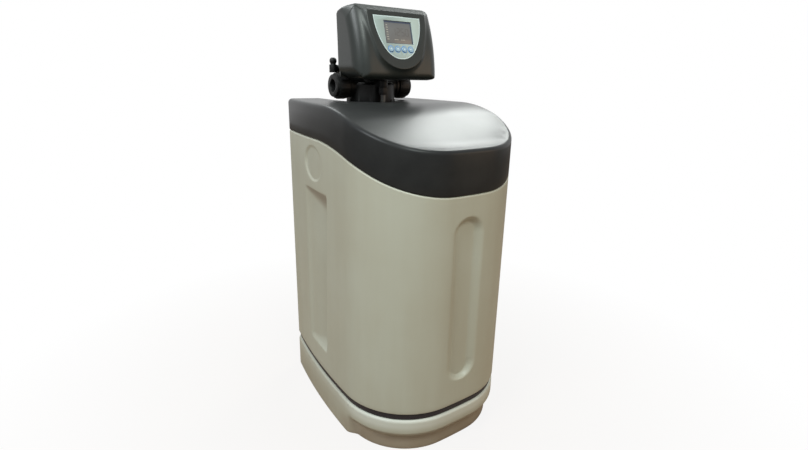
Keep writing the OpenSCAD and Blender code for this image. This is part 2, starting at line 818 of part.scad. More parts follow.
module injector_cap() {
    color([0.13, 0.13, 0.13]) translate([injector_x, injector_y, injector_z]) {
        rod_y(0, 5, injector_r);
        for (a = [45:90:315]) rotate([0, a, 0]) translate([injector_r - 4, 0, 0]) rod_y(4, 8, 2.4);
    }
}

// Ceramic discs, gland and gear train
module fixed_disc() {
    color([0.9, 0.9, 0.88]) translate([gear_c.x, 0, gear_c.y]) difference() {
        rod_y(disc_y + 12, disc_y + 19, disc_r);
        for (a = [0:60:300]) rotate([0, a, 0]) translate([14, 0, 0]) rod_y(disc_y, disc_y + 30, 5);
    }
}

module moving_disc() {
    color([0.8, 0.8, 0.78]) translate([gear_c.x, 0, gear_c.y]) difference() {
        rod_y(disc_y + 5, disc_y + 11.7, disc_r - 0.5);
        rotate([0, 30, 0]) translate([14, 0, 0]) rod_y(disc_y, disc_y + 30, 5);
        translate([-3 - run, disc_y + 4, -3 - run]) cube([6 + 2 * run, 5, 6 + 2 * run]);
    }
}

shaft_r = 6;
module disc_gland() {
    color([0.16, 0.16, 0.16]) translate([gear_c.x, 0, gear_c.y]) difference() {
        union() {
            rod_y(disc_y - 3, disc_y + 4.7, disc_r);
            rod_y(disc_y - 3, disc_y, disc_r + 6);
        }
        rod_y(disc_y - 4, disc_y + 5, shaft_r + run);
    }
}

// Gear outline: straight-flanked teeth with backlash, one every 360 / n degrees
function gear_outline(n, shift) = [for (k = [0:n - 1])
    let (p = gear_m * n / 2, a = 360 / n, s = shift + k * a)
    each [for (q = [[-0.36, -1.25], [-0.21, 0], [-0.1, 0.9], [0.1, 0.9], [0.21, 0], [0.36, -1.25]])
        (p + gear_m * q[1]) * [cos(s + a * q[0]), sin(s + a * q[0])]]];

module drive_gear() {
    color([0.15, 0.15, 0.15]) translate([gear_c.x, 0, gear_c.y]) {
        difference() {
            translate([0, gear_y + gear_t, 0]) rotate([90, 0, 0]) linear_extrude(gear_t)
                polygon(gear_outline(gear_n, 0));
            for (a = [0:60:300]) rotate([0, a, 0]) translate([24, 0, 0]) rod_y(0, 100, 8);
        }
        rod_y(gear_y - 3, disc_y + 4.5, shaft_r);
        translate([-3, disc_y + 3, -3]) cube([6, 5, 6]);
    }
}

module motor_pinion() {
    color([0.85, 0.85, 0.82]) translate([pinion_c.x, 0, pinion_c.y]) {
        translate([0, gear_y + gear_t, 0]) rotate([90, 0, 0]) linear_extrude(gear_t + 1)
            polygon(gear_outline(pinion_n, 180 + 180 / pinion_n));
        rod_y(gear_y + gear_t - 1, gear_y + gear_t + 6, 3);
    }
}

module gear_motor() {
    y0 = gear_y + gear_t + 1;
    color([0.6, 0.62, 0.62]) translate([pinion_c.x, 0, pinion_c.y]) difference() {
        union() {
            rod_y(y0, back_y - back_t, motor_r);
            translate([-6, back_y - back_t - 2, -motor_r - 7]) cube([12, 2, 2 * motor_r + 14]);
        }
        rod_y(y0 - 1, y0 + 7, 3 + run);
    }
}

// Control head: leaning front, rounded corners and a raised bezel round the panel
function fillet(p, r, n = 6) = [for (k = [0:len(p) - 1])
    let (a = p[(k + len(p) - 1) % len(p)], b = p[k], c = p[(k + 1) % len(p)])
    let (u = unit(a - b), v = unit(c - b), half = acos(u * v) / 2)
    let (m = b + unit(u + v) * r[k] / sin(half), t = r[k] / tan(half))
    let (s = b + u * t, e = b + v * t)
    each r[k] == 0 ? [b] : [for (j = [0:n])
        let (a0 = bearing(s, m), a1 = bearing(e, m), d = (a1 - a0 + 540) % 360 - 180)
        m + r[k] * [cos(a0 + d * j / n), sin(a0 + d * j / n)]]];

module on_face() {
    translate(face_o) rotate([90 - lean, 0, 0]) children();
}

module head_form(i) {
    tall = 400;
    x1 = head_w / 2 - i;
    y1 = back_y + (i > 0 ? 1 : 0);
    z0 = head_z + i;
    z1 = head_top - i;
    r = dome_r - i;
    front = function (z) dome_c.x - sqrt(r * r - pow(z - dome_c.y, 2));
    steps = 10;
    bow = [for (k = [1:steps - 1]) let (z = z1 + (z0 - z1) * k / steps) [front(z), z]];
    deep = 180;
    x2 = x1 - head_taper * deep;
    ring = r + 0.6;
    intersection() {
        along_x(-x1 - 5, x1 + 5) polygon(fillet(
            concat([[front(z0), z0], [y1, z0], [y1, z1 - 14], [y1 - 20, z1], [front(z1), z1]], bow),
            concat([10, 0, 8, 8, 12], [for (p = bow) 0])));
        translate([0, back_y + 1, 0]) rotate([90, 0, 0]) linear_extrude(tall) polygon(fillet(
            [[-x1, z0], [x1, z0], [x1, z1], [-x1, z1]],
            [head_low_r - i, head_low_r - i, head_top_r - i, head_top_r - i], 8));
        translate([0, dome_c.x, dome_c.y]) rotate([0, 90, 0]) rotate_extrude($fn = 360) polygon(fillet(
            [[ring - deep, -x2], [ring, -x1], [ring, x1], [ring - deep, x2]],
            [0, head_side_r - i, head_side_r - i, 0], 8));
    }
}

// Panel outline: a shield with a straight top, two wide side arcs and a round lower end.
// It is grown by e0 at the height z0 and by e1 at z1, which gives the bezel its leaning wall
panel_top = 59;
panel_side_r = 2.12 * panel_r;
panel_low_r = 0.785 * panel_r;
shield_c = [panel_r - panel_side_r, panel_top];
shield_d = panel_side_r - panel_low_r;
shield_low = [0, panel_top - sqrt(shield_d * shield_d - shield_c.x * shield_c.x)];
module shield(e0, e1, z0, z1, cap) {
    h = z1 - z0;
    fall = (shield_c.y - shield_low.y) / shield_d;
    drift = (e1 - e0) * fall / h;
    function touch(e) = shield_low.y - (panel_low_r + e) * fall;
    difference() {
        intersection() {
            translate([shield_c.x, shield_c.y, z0])
                cylinder(r1 = panel_side_r + e0, r2 = panel_side_r + e1, h = h, $fn = 180);
            mirror([1, 0, 0]) translate([shield_c.x, shield_c.y, z0])
                cylinder(r1 = panel_side_r + e0, r2 = panel_side_r + e1, h = h, $fn = 180);
            translate([-100, -100, z0 - 1]) cube([200, 100 + panel_top + cap, h + 2]);
        }
        along_x(-100, 100) polygon([
            [touch(e0) + drift, z0 - 1], [touch(e1) - drift, z1 + 1], [-200, z1 + 1], [-200, z0 - 1]]);
    }
    translate([0, shield_low.y, z0])
        cylinder(r1 = panel_low_r + e0 + swell, r2 = panel_low_r + e1 + swell, h = h, $fn = 120);
}

module bezel() {
    shield(18.5, 12, -9, bezel_h, 8);
}

panel_t = 1;
panel_z = bezel_h - 1.4;
module face_holes(z0, z1) {
    translate([-lcd_w / 2, lcd_v - lcd_h / 2, z0]) cube([lcd_w, lcd_h, z1 - z0]);
    for (k = [0:3]) translate([(k - 1.5) * button_gap, 0, z0]) cylinder(r = button_r + clear, h = z1 - z0);
}

module head_cover() {
    color([0.16, 0.17, 0.165]) difference() {
        union() {
            head_form(0);
            on_face() bezel();
        }
        head_form(head_t);
        translate([-head_w, back_y, head_z - 1]) cube([2 * head_w, 100, head_h + 2]);
        on_face() shield(run, run, panel_z, panel_z + 10, run);
        on_face() face_holes(-10, 10);
        translate([tank_c.x, tank_c.y, head_z - 1]) cylinder(r = post_r + 6, h = 12);
    }
}

module display_panel() {
    color([0.62, 0.68, 0.66]) on_face() difference() {
        shield(0, 0, panel_z, panel_z + panel_t, 0);
        face_holes(0, 10);
    }
}

lcd_z = panel_z - 2;
module lcd_window() {
    color([0.47, 0.48, 0.46]) on_face() translate([-lcd_w / 2 + run, lcd_v - lcd_h / 2 + run, lcd_z])
        cube([lcd_w - 2 * run, lcd_h - 2 * run, panel_t + 0.8]);
}

board_z = -14;
board_t = 1.6;
module lcd_module() {
    color([0.3, 0.32, 0.3]) on_face() translate([-lcd_w / 2 - 3, lcd_v - lcd_h / 2 - 3, board_z + board_t])
        cube([lcd_w + 6, lcd_h + 6, -head_t - 1 - board_z - board_t]);
    color([0.3, 0.32, 0.3]) on_face() translate([-lcd_w / 2 + 1, lcd_v - lcd_h / 2 + 1, -head_t - 1.5])
        cube([lcd_w - 2, lcd_h - 2, lcd_z + head_t + 1.5]);
}

function inner_h(v) = dome_rise - pow(v - dome_v, 2) / (2 * dome_r) - head_t;
module circuit_board() {
    color([0.1, 0.35, 0.2]) on_face() {
        translate([-panel_r - 5, -12, board_z]) cube([2 * panel_r + 10, panel_top + 16, board_t]);
        for (k = [0:3]) translate([(k - 1.5) * button_gap - 3, -3, board_z + board_t]) cube([6, 6, 4]);
        for (x = [11 - panel_r, panel_r - 11], v = [-8, lcd_v + 10]) translate([x, v, board_z + board_t])
            cylinder(r = 3, h = inner_h(v) - 0.2 - board_z - board_t);
    }
}

cap_z = panel_z + panel_t + 1.6;
module button(k) {
    color([0.55, 0.66, 0.73]) on_face() translate([(k - 1.5) * button_gap, 0, 0]) {
        translate([0, 0, -head_t - 2]) cylinder(r = button_r, h = cap_z + head_t + 2);
        translate([0, 0, -head_t - 2]) cylinder(r = button_r + 1.4, h = 1.6);
        translate([0, 0, board_z + board_t + 4 + button_travel + 0.3])
            cylinder(r = 1.5, h = -head_t - 1 - board_z - board_t - 4 - button_travel);
    }
}
module button_1() { button(0); }
module button_2() { button(1); }
module button_3() { button(2); }
module button_4() { button(3); }

socket_c = [28 - head_w / 2, head_z + 21];
screw_x = head_w / 2 - 16;
module back_plate() {
    color([0.12, 0.12, 0.12]) difference() {
        intersection() {
            head_form(head_t + 0.2);
            translate([-head_w, back_y - back_t, 0]) cube([2 * head_w, back_t, 1000]);
        }
        translate([tank_c.x, tank_c.y, 0]) cylinder(r = post_r + clear, h = post_z + clear);
        translate([gear_c.x, 0, gear_c.y]) rod_y(0, 200, disc_r + 6 + clear);
        translate([socket_c.x, 0, socket_c.y]) rod_y(0, 200, 6);
    }
}

module plate_screws() {
    color([0.7, 0.7, 0.7]) for (x = [-screw_x, screw_x], z = [head_z + 17, head_top - 29])
        translate([x, 0, z]) rod_y(back_y, back_y + 2.4, 3.5);
}

module power_socket() {
    color([0.1, 0.1, 0.1]) translate([socket_c.x, 0, socket_c.y]) difference() {
        union() {
            rod_y(back_y - 14, back_y + 2, 6 - run);
            rod_y(back_y, back_y + 2, 8);
        }
        rod_y(back_y - 10, back_y + 3, 2.75);
    }
}

base_tray();
trim_strip();
cabinet_shell();
salt_lid();
salt_grid();
brine_well();
brine_well_cap();
brine_riser();
air_check_cage();
float_rod();
brine_float();
brine_tube();
overflow_elbow();
overflow_nut();
overflow_gasket();
tank_boot();
resin_tank();
resin_bed();
riser_tube();
bottom_strainer();
top_strainer();
neck_seal();
valve_body();
inlet_union();
outlet_union();
flow_impeller();
drain_elbow();
drain_nut();
brine_nut();
injector_cap();
fixed_disc();
moving_disc();
disc_gland();
drive_gear();
motor_pinion();
gear_motor();
circuit_board();
lcd_module();
lcd_window();
display_panel();
head_cover();
button_1();
button_2();
button_3();
button_4();
back_plate();
plate_screws();
power_socket();
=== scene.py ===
"""Looks of a cabinet water softener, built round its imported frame.

Sizes in the dataclasses are millimetres and the meshes are metres. The front
faces -Y, +Z is up, and the origin is on the floor under the cabinet's middle.
"""

from __future__ import annotations

import json
import logging
import math
from dataclasses import dataclass, field
from enum import Enum
from typing import Any, Callable, Iterable, Sequence

import bmesh
import bpy
from mathutils import Matrix, Vector

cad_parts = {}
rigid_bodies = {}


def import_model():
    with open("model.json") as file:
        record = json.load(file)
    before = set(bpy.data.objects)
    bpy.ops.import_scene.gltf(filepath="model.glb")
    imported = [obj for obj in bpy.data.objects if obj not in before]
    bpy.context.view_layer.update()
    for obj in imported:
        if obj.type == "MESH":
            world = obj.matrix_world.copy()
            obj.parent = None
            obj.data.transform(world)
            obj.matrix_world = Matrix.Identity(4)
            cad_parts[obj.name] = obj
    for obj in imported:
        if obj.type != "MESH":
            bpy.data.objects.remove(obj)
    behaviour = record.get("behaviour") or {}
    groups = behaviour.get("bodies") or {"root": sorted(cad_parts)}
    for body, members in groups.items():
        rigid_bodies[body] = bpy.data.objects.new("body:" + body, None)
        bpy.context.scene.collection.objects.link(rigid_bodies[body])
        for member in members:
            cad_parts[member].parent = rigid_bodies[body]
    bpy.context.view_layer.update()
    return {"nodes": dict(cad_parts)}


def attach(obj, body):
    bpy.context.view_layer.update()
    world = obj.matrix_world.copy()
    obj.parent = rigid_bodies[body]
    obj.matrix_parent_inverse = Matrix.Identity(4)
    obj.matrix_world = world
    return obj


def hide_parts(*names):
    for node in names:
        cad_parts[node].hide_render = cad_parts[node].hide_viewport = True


MM = 0.001
MERGE = 1e-7
HALVINGS = 22
Row = tuple[float, ...]
Pair = tuple[float, float]
Triple = tuple[float, float, float]
Pairs = tuple[Pair, ...]
Triples = tuple[Triple, ...]
Rgb = Triple
Rgba = tuple[float, float, float, float]
Spot = tuple[Vector, Vector]
Skin = bmesh.types.BMesh
Material = bpy.types.Material
log = logging.getLogger("softener")


def paint_colour(rgb: Rgb) -> Rgba:
    """Turns a colour as seen on a screen into the linear one that shaders take.

    Args:
        rgb: Red, green and blue from 0 to 255.

    Returns:
        The linear colour with full alpha.
    """
    parts = [c / 255 for c in rgb]
    r, g, b = (c / 12.92 if c < 0.04045 else ((c + 0.055) / 1.055) ** 2.4 for c in parts)
    return (r, g, b, 1.0)


def ease(t: float) -> float:
    """Smooth step from 0 to 1 for t from 0 to 1."""
    t = min(max(t, 0.0), 1.0)
    return t * t * (3 - 2 * t)


def scooped(t: float) -> float:
    """Quarter round from 0 to 1, steep at first, for t from 0 to 1."""
    return math.sin(math.pi / 2 * min(max(t, 0.0), 1.0))


def quarter(steps: int) -> list[float]:
    """Angles of a quarter turn in even steps."""
    return [math.pi / 2 * k / steps for k in range(steps + 1)]


def inward(p: Vector, out: Vector, inset: float, z: float) -> Vector:
    """A point of an outline, drawn in by inset and raised to z."""
    return Vector((p.x - out.x * inset, p.y - out.y * inset, z))


class Val:
    """A value in a node tree that takes part in Python expressions."""

    def __init__(self, graph: Graph, socket: bpy.types.NodeSocket) -> None:
        """Wraps the socket of a node that belongs to graph."""
        self.graph = graph
        self.socket = socket

    def _math(self, operation: str, *terms: Val | float) -> Val:
        """Adds one Math node on the terms."""
        inputs = dict(enumerate(terms))
        return self.graph.node("ShaderNodeMath", {"operation": operation}, inputs)

    def __add__(self, other: Val | float) -> Val:
        """Sum."""
        return self._math("ADD", self, other)

    __radd__ = __add__

    def __sub__(self, other: Val | float) -> Val:
        """Difference."""
        return self._math("SUBTRACT", self, other)

    def __rsub__(self, other: float) -> Val:
        """Difference from a number in front."""
        return self._math("SUBTRACT", other, self)

    def __mul__(self, other: Val | float) -> Val:
        """Product."""
        return self._math("MULTIPLY", self, other)

    __rmul__ = __mul__

    def __truediv__(self, other: Val | float) -> Val:
        """Quotient."""
        return self._math("DIVIDE", self, other)

    def sine(self) -> Val:
        """Sine of an angle in radians."""
        return self._math("SINE", self)

    def turn(self, other: Val) -> Val:
        """Angle of the point (other, self), in radians."""
        return self._math("ARCTAN2", self, other)

    def most(self, other: Val) -> Val:
        """The greater of two values."""
        return self._math("MAXIMUM", self, other)

    def step(self, low: float, high: float) -> Val:
        """Smooth step from 0 at low to 1 at high."""
        settings = {"interpolation_type": "SMOOTHSTEP"}
        inputs = {"Value": self, "From Min": low, "From Max": high}
        return self.graph.node("ShaderNodeMapRange", settings, inputs)

    def band(self, a: float, b: float, c: float, d: float) -> Val:
        """1 from b to c, with a smooth rise from a and a smooth fall to d."""
        return self.step(a, b) * (1 - self.step(c, d))


class Graph:
    """A node tree that is written as expressions."""

    def __init__(self, owner: Material | bpy.types.World) -> None:
        """Empties the owner's node tree."""
        owner.use_nodes = True
        self.tree = owner.node_tree
        self.tree.nodes.clear()

    def feed(self, socket: bpy.types.NodeSocket, value: Any) -> None:
        """Links a Val to a socket or sets its plain value."""
        if isinstance(value, Val):
            self.tree.links.new(value.socket, socket)
        else:
            socket.default_value = value

    def node(
        self,
        kind: str,
        settings: dict[str, Any] | None = None,
        inputs: dict[int | str, Any] | None = None,
        output: int | str = 0,
    ) -> Val:
        """Adds a node.

        Args:
            kind: The node's type.
            settings: Its properties, set before its sockets.
            inputs: Values or links of its sockets, by index or name.
            output: Which output is returned, by index or name.

        Returns:
            The chosen output.
        """
        made = self.tree.nodes.new(kind)
        for key, value in (settings or {}).items():
            setattr(made, key, value)
        for key, value in (inputs or {}).items():
            self.feed(made.inputs[key], value)
        return Val(self, made.outputs[output])

    def show(self, kind: str, value: Val) -> None:
        """Adds the tree's output node and feeds it."""
        self.feed(self.tree.nodes.new(kind).inputs[0], value)

    def point(self) -> Val:
        """The point on the object, in metres."""
        return self.node("ShaderNodeTexCoord", output="Object")

    def ray(self, kind: str) -> Val:
        """1 for rays of a kind, such as Camera, and 0 for others."""
        return self.node("ShaderNodeLightPath", output=f"Is {kind} Ray")


class Paint(Graph):
    """One material with a Principled shader."""

    def __init__(self, name: str) -> None:
        """Starts a material of that name."""
        self.material = bpy.data.materials.new(name)
        super().__init__(self.material)
        self.shader = self.tree.nodes.new("ShaderNodeBsdfPrincipled")
        self.show("ShaderNodeOutputMaterial", Val(self, self.shader.outputs[0]))

    def placed(
        self,
        centre: Sequence[float] = (0, 0, 0),
        turn: Sequence[float] = (0, 0, 0),
        scale: Sequence[float] = (1, 1, 1),
    ) -> Val:
        """The point seen from a centre in millimetres, turned by radians and scaled."""
        ends = {0: self.point(), 1: [c * MM for c in centre]}
        moved = self.node("ShaderNodeVectorMath", {"operation": "SUBTRACT"}, ends)
        inputs = {"Vector": moved, "Rotation": turn, "Scale": scale}
        return self.node("ShaderNodeMapping", None, inputs)

    def axis(self, index: int, point: Val | None = None) -> Val:
        """One coordinate of a point, 0 for x, 1 for y and 2 for z."""
        return self.node("ShaderNodeSeparateXYZ", None, {0: point or self.point()}, index)

    def noise(
        self, size: float, detail: float = 2.0, rough: float = 0.5, point: Val | None = None
    ) -> Val:
        """Cloudy noise from 0 to 1.

        Args:
            size: Length of a cloud in millimetres.
            detail: Finer octaves.
            rough: Weight of the finer octaves.
            point: Where it is read, or the object's own point.

        Returns:
            The noise value.
        """
        inputs = {"Vector": point or self.point(), "Scale": 1 / (size * MM)}
        inputs.update({"Detail": detail, "Roughness": rough})
        return self.node("ShaderNodeTexNoise", None, inputs)

    def cells(self, size: float) -> Val:
        """Distance in a cell pattern whose cells are size millimetres."""
        inputs = {"Vector": self.point(), "Scale": 1 / (size * MM)}
        return self.node("ShaderNodeTexVoronoi", None, inputs)

    def mix(self, factor: Val | float, first: Val | Rgba, second: Val | Rgba) -> Val:
        """Colour between two colours."""
        inputs = {0: factor, 6: first, 7: second}
        return self.node("ShaderNodeMix", {"data_type": "RGBA"}, inputs, 2)

    def bump(self, height: Val, depth: float) -> Val:
        """Normal of a surface whose height goes from 0 to 1 over depth millimetres."""
        inputs = {"Strength": 1.0, "Distance": depth * MM, "Height": height}
        return self.node("ShaderNodeBump", None, inputs)

    def finish(self, **sockets: Any) -> Material:
        """Feeds the shader's sockets, with _ for a space in a name, and gives the material."""
        for name, value in sockets.items():
            self.feed(self.shader.inputs[name.replace("_", " ")], value)
        return self.material


@dataclass(frozen=True)
class Finish:
    """A surface finish that a record slot stands for."""

    name: str
    slot: str
    colour: Rgb

    def material(self) -> Material:
        """The finish's material, made once."""
        return bpy.data.materials.get(self.name) or self.make(Paint(self.name))

    def tint(self, paint: Paint, amount: Val, other: Rgb) -> Val:
        """The finish's own colour with an amount of another."""
        return paint.mix(amount, paint_colour(self.colour), paint_colour(other))

    def make(self, paint: Paint) -> Material:
        """Builds the nodes; each kind of finish has its own."""
        raise NotImplementedError


@dataclass(frozen=True)
class CreamMoulding(Finish):
    """Cream moulded cabinet plastic, with tool grain, drift, handling marks in its roughness,
    darkening towards the floor, painted shade in the toe recess and under the scoops' upper ends,
    and a painted highlight on the base's lip.

    Bands and runs are metres of height or depth.
    """

    shade: Rgb = (150, 138, 113)
    # Colour of the painted highlight on the base's rolled lip.
    lip: Rgb = (208, 211, 204)
    # Colour of the painted shade in the toe recess under the lip.
    toe_shade: Rgb = (124, 100, 80)
    # Colour of the painted shade under the upper end of each side scoop.
    scoop_shade: Rgb = (122, 108, 96)
    roughness: float = 0.42
    low_darkening_top: float = 0.11
    lip_highlight_band: Rgba = (0.046, 0.06, 0.071, 0.078)
    kick_band: Pair = (0.02, 0.05)
    front_band: Pair = (-0.11, -0.03)
    grip_top: float = 0.458
    grip_run: Triple = (0.052, 0.4, 0.012)
    grip_band: Rgba = (-0.011, -0.004, 0.07, 0.1)

    def make(self, paint: Paint) -> Material:
        """Builds the cream plastic."""
        shades = (self.colour, self.shade, self.lip, self.toe_shade, self.scoop_shade)
        base, shade, lip, toe_shade, scoop_shade = map(paint_colour, shades)
        height, depth = paint.axis(2), paint.axis(1)
        drift = paint.noise(140, 3.0)
        flow = paint.noise(26, 2.0, 0.5, paint.placed(scale=(1, 1, 0.12)))
        # Darker towards the floor.
        low_darkening = (1 - height.step(0.0, self.low_darkening_top)) * (0.35 + 0.5 * paint.noise(30, 4.0, 0.6))
        tone = (0.42 * drift + 0.22 * flow).step(0.2, 0.46) * 0.22
        fleck = paint.noise(1.7, 1.0).step(0.68, 0.78) * 0.10
        wall = paint.mix(tone + low_darkening * 0.3 + fleck, base, shade)
        front = 1 - depth.step(*self.front_band)
        # Painted highlight on the base's rolled lip, stronger at the front.
        rolled = paint.mix(height.band(*self.lip_highlight_band) * (0.2 + 0.35 * front), wall, lip)
        # Painted shade in the toe recess under the lip, strongest at the front.
        toe_shade_amount = (0.45 + 0.3 * paint.noise(45, 3.0)) * (0.2 + 0.8 * front)
        toe_shaded = paint.mix((1 - height.step(*self.kick_band)) * toe_shade_amount, rolled, toe_shade)
        # Painted shade under the upper end of each side scoop.
        run, slope, start = self.grip_run
        fall = (self.grip_top - height) / (run - slope * (depth + start))
        scoop_shade_mask = fall.band(0.0, 0.08, 0.25, 1.0) * depth.band(*self.grip_band)
        rubbed = paint.placed(turn=(0.3, 0.5, 0.2), scale=(0.25, 1, 1))
        scuff = paint.noise(9, 5.0, 0.72, rubbed).step(0.6, 0.74)
        grain = paint.noise(0.7, 3.0, 0.6) + 0.6 * paint.noise(5.5, 2.0)
        return paint.finish(
            Base_Color=paint.mix(scoop_shade_mask * 0.6, toe_shaded, scoop_shade),
            Roughness=self.roughness + 0.10 * drift - 0.05 + 0.09 * scuff,
            Specular_IOR_Level=0.45,
            Normal=paint.bump(grain, 0.022),
        )


@dataclass(frozen=True)
class SatinBlack(Finish):
    """Dark satin plastic with tool grain, soft bloom, matt upper faces, and dust with a painted
    sheen on them.
    """

    bloom: Rgb
    roughness: float
    grain: float
    depth: float
    dust_and_sheen: float
    gloss: float
    matt: float = 0.0

    def make(self, paint: Paint) -> Material:
        """Builds the dark plastic."""
        cloud = paint.noise(60, 4.0, 0.55)
        normal = paint.node("ShaderNodeNewGeometry", output="Normal")
        upward = paint.axis(2, normal).step(0.55, 0.98)
        # Dust on upper faces, and a painted sheen that lightens the lid's deck.
        settle = upward * (0.4 + 0.6 * paint.noise(16, 5.0, 0.65))
        speck = paint.noise(1.3, 2.0).step(0.7, 0.8)
        amount = cloud.step(0.3, 0.75) * 0.10 + settle * self.dust_and_sheen + speck * 0.08
        rubbed = paint.placed(turn=(0.2, 0.1, 0.7), scale=(1, 0.22, 1))
        rub = paint.noise(7, 5.0, 0.75, rubbed).step(0.58, 0.76)
        leather = paint.cells(self.grain) + 0.7 * paint.noise(self.grain * 0.6, 2.0)
        return paint.finish(
            Base_Color=self.tint(paint, amount, self.bloom),
            Roughness=self.roughness + 0.09 * cloud - 0.045 + 0.05 * rub + self.matt * upward,
            Specular_IOR_Level=self.gloss,
            Normal=paint.bump(leather, self.depth),
        )


@dataclass(frozen=True)
class PlainMoulding(Finish):
    """Plain plastic or rubber of an inner or small piece, with flow streaks and fine grain."""

    second: Rgb
    roughness: float = 0.5
    streak: float = 4.0
    depth: float = 0.004
    wet: float = 0.0

    def make(self, paint: Paint) -> Material:
        """Builds the plain plastic."""
        drawn = paint.placed(turn=(0.1, 0.2, 0.3), scale=(1, 1, 0.3))
        streaks = paint.noise(self.streak, 4.0, 0.6, drawn)
        specks = paint.noise(1.1, 2.0).step(0.66, 0.8)
        amount = streaks.step(0.35, 0.8) * 0.35 + specks * 0.12
        grain = paint.noise(0.8, 3.0, 0.6) + 0.8 * paint.noise(4.0, 2.0)
        return paint.finish(
            Base_Color=self.tint(paint, amount, self.second),
            Roughness=self.roughness + 0.14 * streaks - 0.07,
            Coat_Weight=self.wet,
            Normal=paint.bump(grain, self.depth),
        )


@dataclass(frozen=True)
class PrintedFilm(Finish):
    """Pearl grey printed film of the display panel, with a painted reflection that pales it towards
    its right edge.

    Bands are metres of height and of x.
    """

    edge: Rgb = (136, 152, 152)
    painted_sheen: Rgb = (188, 204, 199)
    fade_band: Pair = (0.685, 0.775)
    painted_sheen_band: Pair = (-0.03, 0.05)

    def make(self, paint: Paint) -> Material:
        """Builds the film."""
        base, edge, painted_sheen = map(paint_colour, (self.colour, self.edge, self.painted_sheen))
        pearl = paint.noise(0.5, 2.0).step(0.4, 0.8)
        fade = paint.axis(2).step(*self.fade_band)
        tone = 0.10 * pearl + 0.22 * (1 - fade) + 0.12 * paint.noise(22, 3.0)
        # Painted reflection, paler towards the right edge.
        right = paint.axis(0).step(*self.painted_sheen_band) * 0.7
        weave = paint.noise(0.35, 2.0)
        return paint.finish(
            Base_Color=paint.mix(right, paint.mix(tone, base, edge), painted_sheen),
            Roughness=0.36 + 0.08 * weave,
            Coat_Weight=0.15,
            Normal=paint.bump(weave, 0.006),
        )


@dataclass(frozen=True)
class DisplayGlass(Finish):
    """Grey display under a clear window, a little darker towards its top.

    The band is metres of height, and the rows are radians to a metre.
    """

    shadow: Rgb = (74, 76, 78)
    shade_band: Pair = (0.742, 0.757)
    row_rate: float = 9000.0

    def make(self, paint: Paint) -> Material:
        """Builds the display."""
        height = paint.axis(2)
        shade = height.step(*self.shade_band) * 0.55
        rows = (height * self.row_rate).sine() * 0.5 + 0.5
        haze = paint.noise(14, 3.0)
        amount = shade + 0.06 * rows + 0.18 * haze
        return paint.finish(
            Base_Color=self.tint(paint, amount, self.shadow),
            Roughness=0.30 + 0.08 * haze,
            Coat_Weight=0.5,
            Coat_Roughness=0.12,
        )


@dataclass(frozen=True)
class WoundTank(Finish):
    """Resin tank wound with glass fibre under a coat of lacquer.

    Strands are counted round the tank, and climb and hoops are radians to a metre.
    """

    fibre: Rgb = (112, 138, 160)
    axis_y: float = 110.0
    strands: float = 24.0
    climb: float = 520.0
    hoops: float = 2600.0

    def make(self, paint: Paint) -> Material:
        """Builds the wound tank."""
        where = paint.placed((0, self.axis_y, 0))
        around = paint.axis(1, where).turn(paint.axis(0, where)) * self.strands
        height = paint.axis(2)
        left = (around + height * self.climb).sine()
        right = (around - height * self.climb).sine()
        hoop = (height * self.hoops + 2.0 * paint.noise(30)).sine()
        wind = 0.5 + 0.25 * left + 0.25 * right
        amount = 0.35 * wind + 0.1 * hoop + 0.1 * paint.noise(9, 4.0)
        return paint.finish(
            Base_Color=self.tint(paint, amount, self.fibre),
            Roughness=0.36 + 0.1 * wind,
            Coat_Weight=0.3,
            Normal=paint.bump(wind + 0.3 * hoop, 0.12),
        )


@dataclass(frozen=True)
class ResinBeads(Finish):
    """Amber exchange beads, wet and close together."""

    pale: Rgb = (214, 160, 70)

    def make(self, paint: Paint) -> Material:
        """Builds the beads."""
        bead = paint.cells(0.9)
        amount = 0.6 * paint.noise(1.4, 2.0) + 0.4 * (1 - bead)
        return paint.finish(
            Base_Color=self.tint(paint, amount, self.pale),
            Roughness=0.22 + 0.2 * bead,
            Normal=paint.bump(1 - bead, 0.4),
        )


@dataclass(frozen=True)
class BoardLacquer(Finish):
    """Green circuit board with copper runs, in radians to a metre, under the lacquer."""

    run: Rgb = (66, 120, 70)
    run_rate: float = 2100.0

    def make(self, paint: Paint) -> Material:
        """Builds the board."""
        waver = 3.0 * paint.noise(9, 1.0)
        runs = (paint.axis(0) * self.run_rate + waver).sine().step(0.3, 0.5)
        pads = 1 - paint.cells(4.0).step(0.18, 0.24)
        amount = 0.6 * runs + 0.4 * pads
        return paint.finish(
            Base_Color=self.tint(paint, amount, self.run),
            Roughness=0.3 + 0.1 * runs,
            Normal=paint.bump(runs, 0.03),
        )


@dataclass(frozen=True)
class TurnedMetal(Finish):
    """Plated or drawn metal with fine marks from its making."""

    roughness: float = 0.32
    darker: float = 0.7

    def make(self, paint: Paint) -> Material:
        """Builds the metal."""
        marks = paint.noise(1.2, 3.0, 0.6, paint.placed(scale=(1, 0.06, 1)))
        amount = 0.4 * paint.noise(8, 4.0).step(0.4, 0.8) + 0.1 * marks
        dark = tuple(c * self.darker for c in self.colour)
        return paint.finish(
            Base_Color=self.tint(paint, amount, dark),
            Metallic=1.0,
            Roughness=self.roughness + 0.15 * marks,
            Normal=paint.bump(marks, 0.01),
        )


